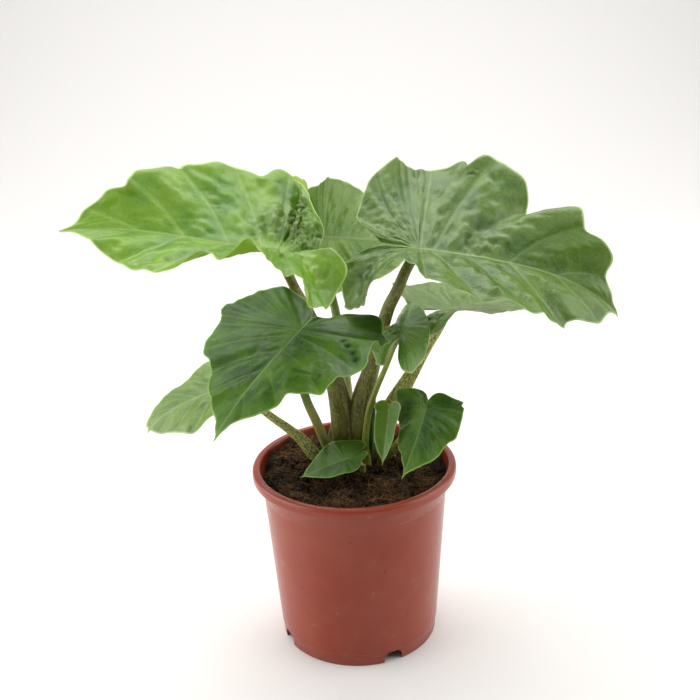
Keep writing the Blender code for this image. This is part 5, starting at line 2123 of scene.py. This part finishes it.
@dataclass(frozen=True)
class SoftBox:
    """One soft light: its name, place, aim, width and height, power in watts and colour."""

    name: str
    place: Place
    aim: Place
    size: tuple[float, float]
    power: float
    colour: Colour = (1.0, 1.0, 1.0)

    def build(self) -> None:
        """Hangs the light in the studio."""
        data = bpy.data.lights.new(self.name, "AREA")
        data.shape = "RECTANGLE"
        data.size, data.size_y = self.size
        data.energy = self.power
        data.color = self.colour
        lamp = bpy.data.objects.new(self.name, data)
        facing = (Vector(self.aim) - Vector(self.place)).to_track_quat("-Z", "Y")
        lamp.matrix_world = Matrix.Translation(self.place) @ facing.to_matrix().to_4x4()
        bpy.context.scene.collection.objects.link(lamp)


WARM = (1.0, 0.99, 0.97)
PLANT_MIDDLE = (0.0, 0.0, 0.25)
SOFT_BOXES = (
    SoftBox("Top box", (0.0, 1.0, 1.9), PLANT_MIDDLE, (2.6, 1.4), 37.0, WARM),
    SoftBox("Front box", (0.2, -0.9, 2.2), PLANT_MIDDLE, (1.8, 1.0), 9.5, WARM),
    SoftBox("Left box", (-1.5, -0.1, 0.8), PLANT_MIDDLE, (1.8, 1.8), 34.0),
    SoftBox("Right box", (1.5, -0.05, 0.8), PLANT_MIDDLE, (1.6, 1.8), 24.0),
    SoftBox("Back box", (0.0, 1.2, 2.6), (0.0, 2.4, 0.9), (3.4, 0.8), 17.0),
)


@dataclass
class Studio:
    """Pale sweep, soft lights and the photograph's camera."""

    focal_pixels: float = 1139.0
    image_pixels: float = 700.0
    sensor_mm: float = 36.0
    camera_place: Place = (0.0, -0.955, 0.652)
    pitch_down: float = math.radians(20.98)
    roll: float = -0.0367
    sweep_colour: Colour = (0.80, 0.787, 0.773)
    sweep_radius: float = 0.9
    sweep_back: float = 1.5
    sweep_front: float = -3.0
    sweep_top: float = 4.0
    sweep_half_width: float = 4.0
    ambient_colour: Colour = (1.0, 0.995, 0.985)
    ambient: float = 0.14

    def camera(self) -> None:
        """The camera at the photograph's viewing angle."""
        data = bpy.data.cameras.new("Camera")
        data.sensor_width = self.sensor_mm
        data.lens = self.focal_pixels / self.image_pixels * self.sensor_mm
        data.clip_start = 0.01
        camera = bpy.data.objects.new("Camera", data)
        forward = Vector((0, math.cos(self.pitch_down), -math.sin(self.pitch_down)))
        level = Vector((1, 0, 0))
        upright = level.cross(forward)
        right = math.cos(self.roll) * level + math.sin(self.roll) * upright
        up = -math.sin(self.roll) * level + math.cos(self.roll) * upright
        turned = Matrix((right, up, -forward)).transposed().to_4x4()
        camera.matrix_world = Matrix.Translation(self.camera_place) @ turned
        bpy.context.scene.collection.objects.link(camera)
        bpy.context.scene.camera = camera

    def sweep(self) -> None:
        """A floor that curves up into a back wall, all one pale tone."""
        radius, back, half = self.sweep_radius, self.sweep_back, self.sweep_half_width
        bends = np.linspace(0, math.pi / 2, 25)
        arc = [(back + radius * math.sin(a), radius * (1 - math.cos(a))) for a in bends]
        line = [(self.sweep_front, 0.0), *arc, (back + radius, self.sweep_top)]
        points = np.array([(x, y, z) for y, z in line for x in (-half, half)])
        left = 2 * np.arange(len(line) - 1)
        sweep = mesh_object("studio_sweep", points, split_quads(left, left + 1, left + 3, left + 2))
        tree = Tree("studio_paper")
        paper = tree.principled(self.sweep_colour, roughness=0.85, gloss=0.2)
        sweep.data.materials.append(tree.finish(paper))

    def build(self) -> None:
        """Puts up the sweep, the lights, the world and the camera."""
        self.camera()
        self.sweep()
        world = bpy.data.worlds.new("Studio")
        world.use_nodes = True
        background = world.node_tree.nodes["Background"]
        background.inputs["Color"].default_value = rgba(self.ambient_colour)
        background.inputs["Strength"].default_value = self.ambient
        bpy.context.scene.world = world
        for box in SOFT_BOXES:
            box.build()
        bpy.context.scene.view_settings.view_transform = "Standard"
        bpy.context.scene.view_settings.look = "None"


def main() -> None:
    """Builds the studio, the pot, the soil, the blades and the stalks."""
    Studio().build()
    pot = Pot()
    pot.build()
    Soil(pot).build()
    trees = {}
    for leaf in LEAVES:
        blade = Blade(leaf).build()
        verts = [v.co.copy() for v in blade.data.vertices]
        trees[leaf.name] = BVHTree.FromPolygons(verts, [tuple(p.vertices) for p in blade.data.polygons])
    tubes = {stalk.name: Tube(stalk).build(trees) for stalk in STALKS}
    combine(tubes["crown"], tubes.pop("crown_right_fork"), "UNION")
    tubes["crown"].data.shade_smooth()
    for stalk in STALKS:
        if stalk.name in tubes:
            dress(tubes[stalk.name], stalk.rind.value.slot, stalk.name)


if __name__ == "__main__":
    main()
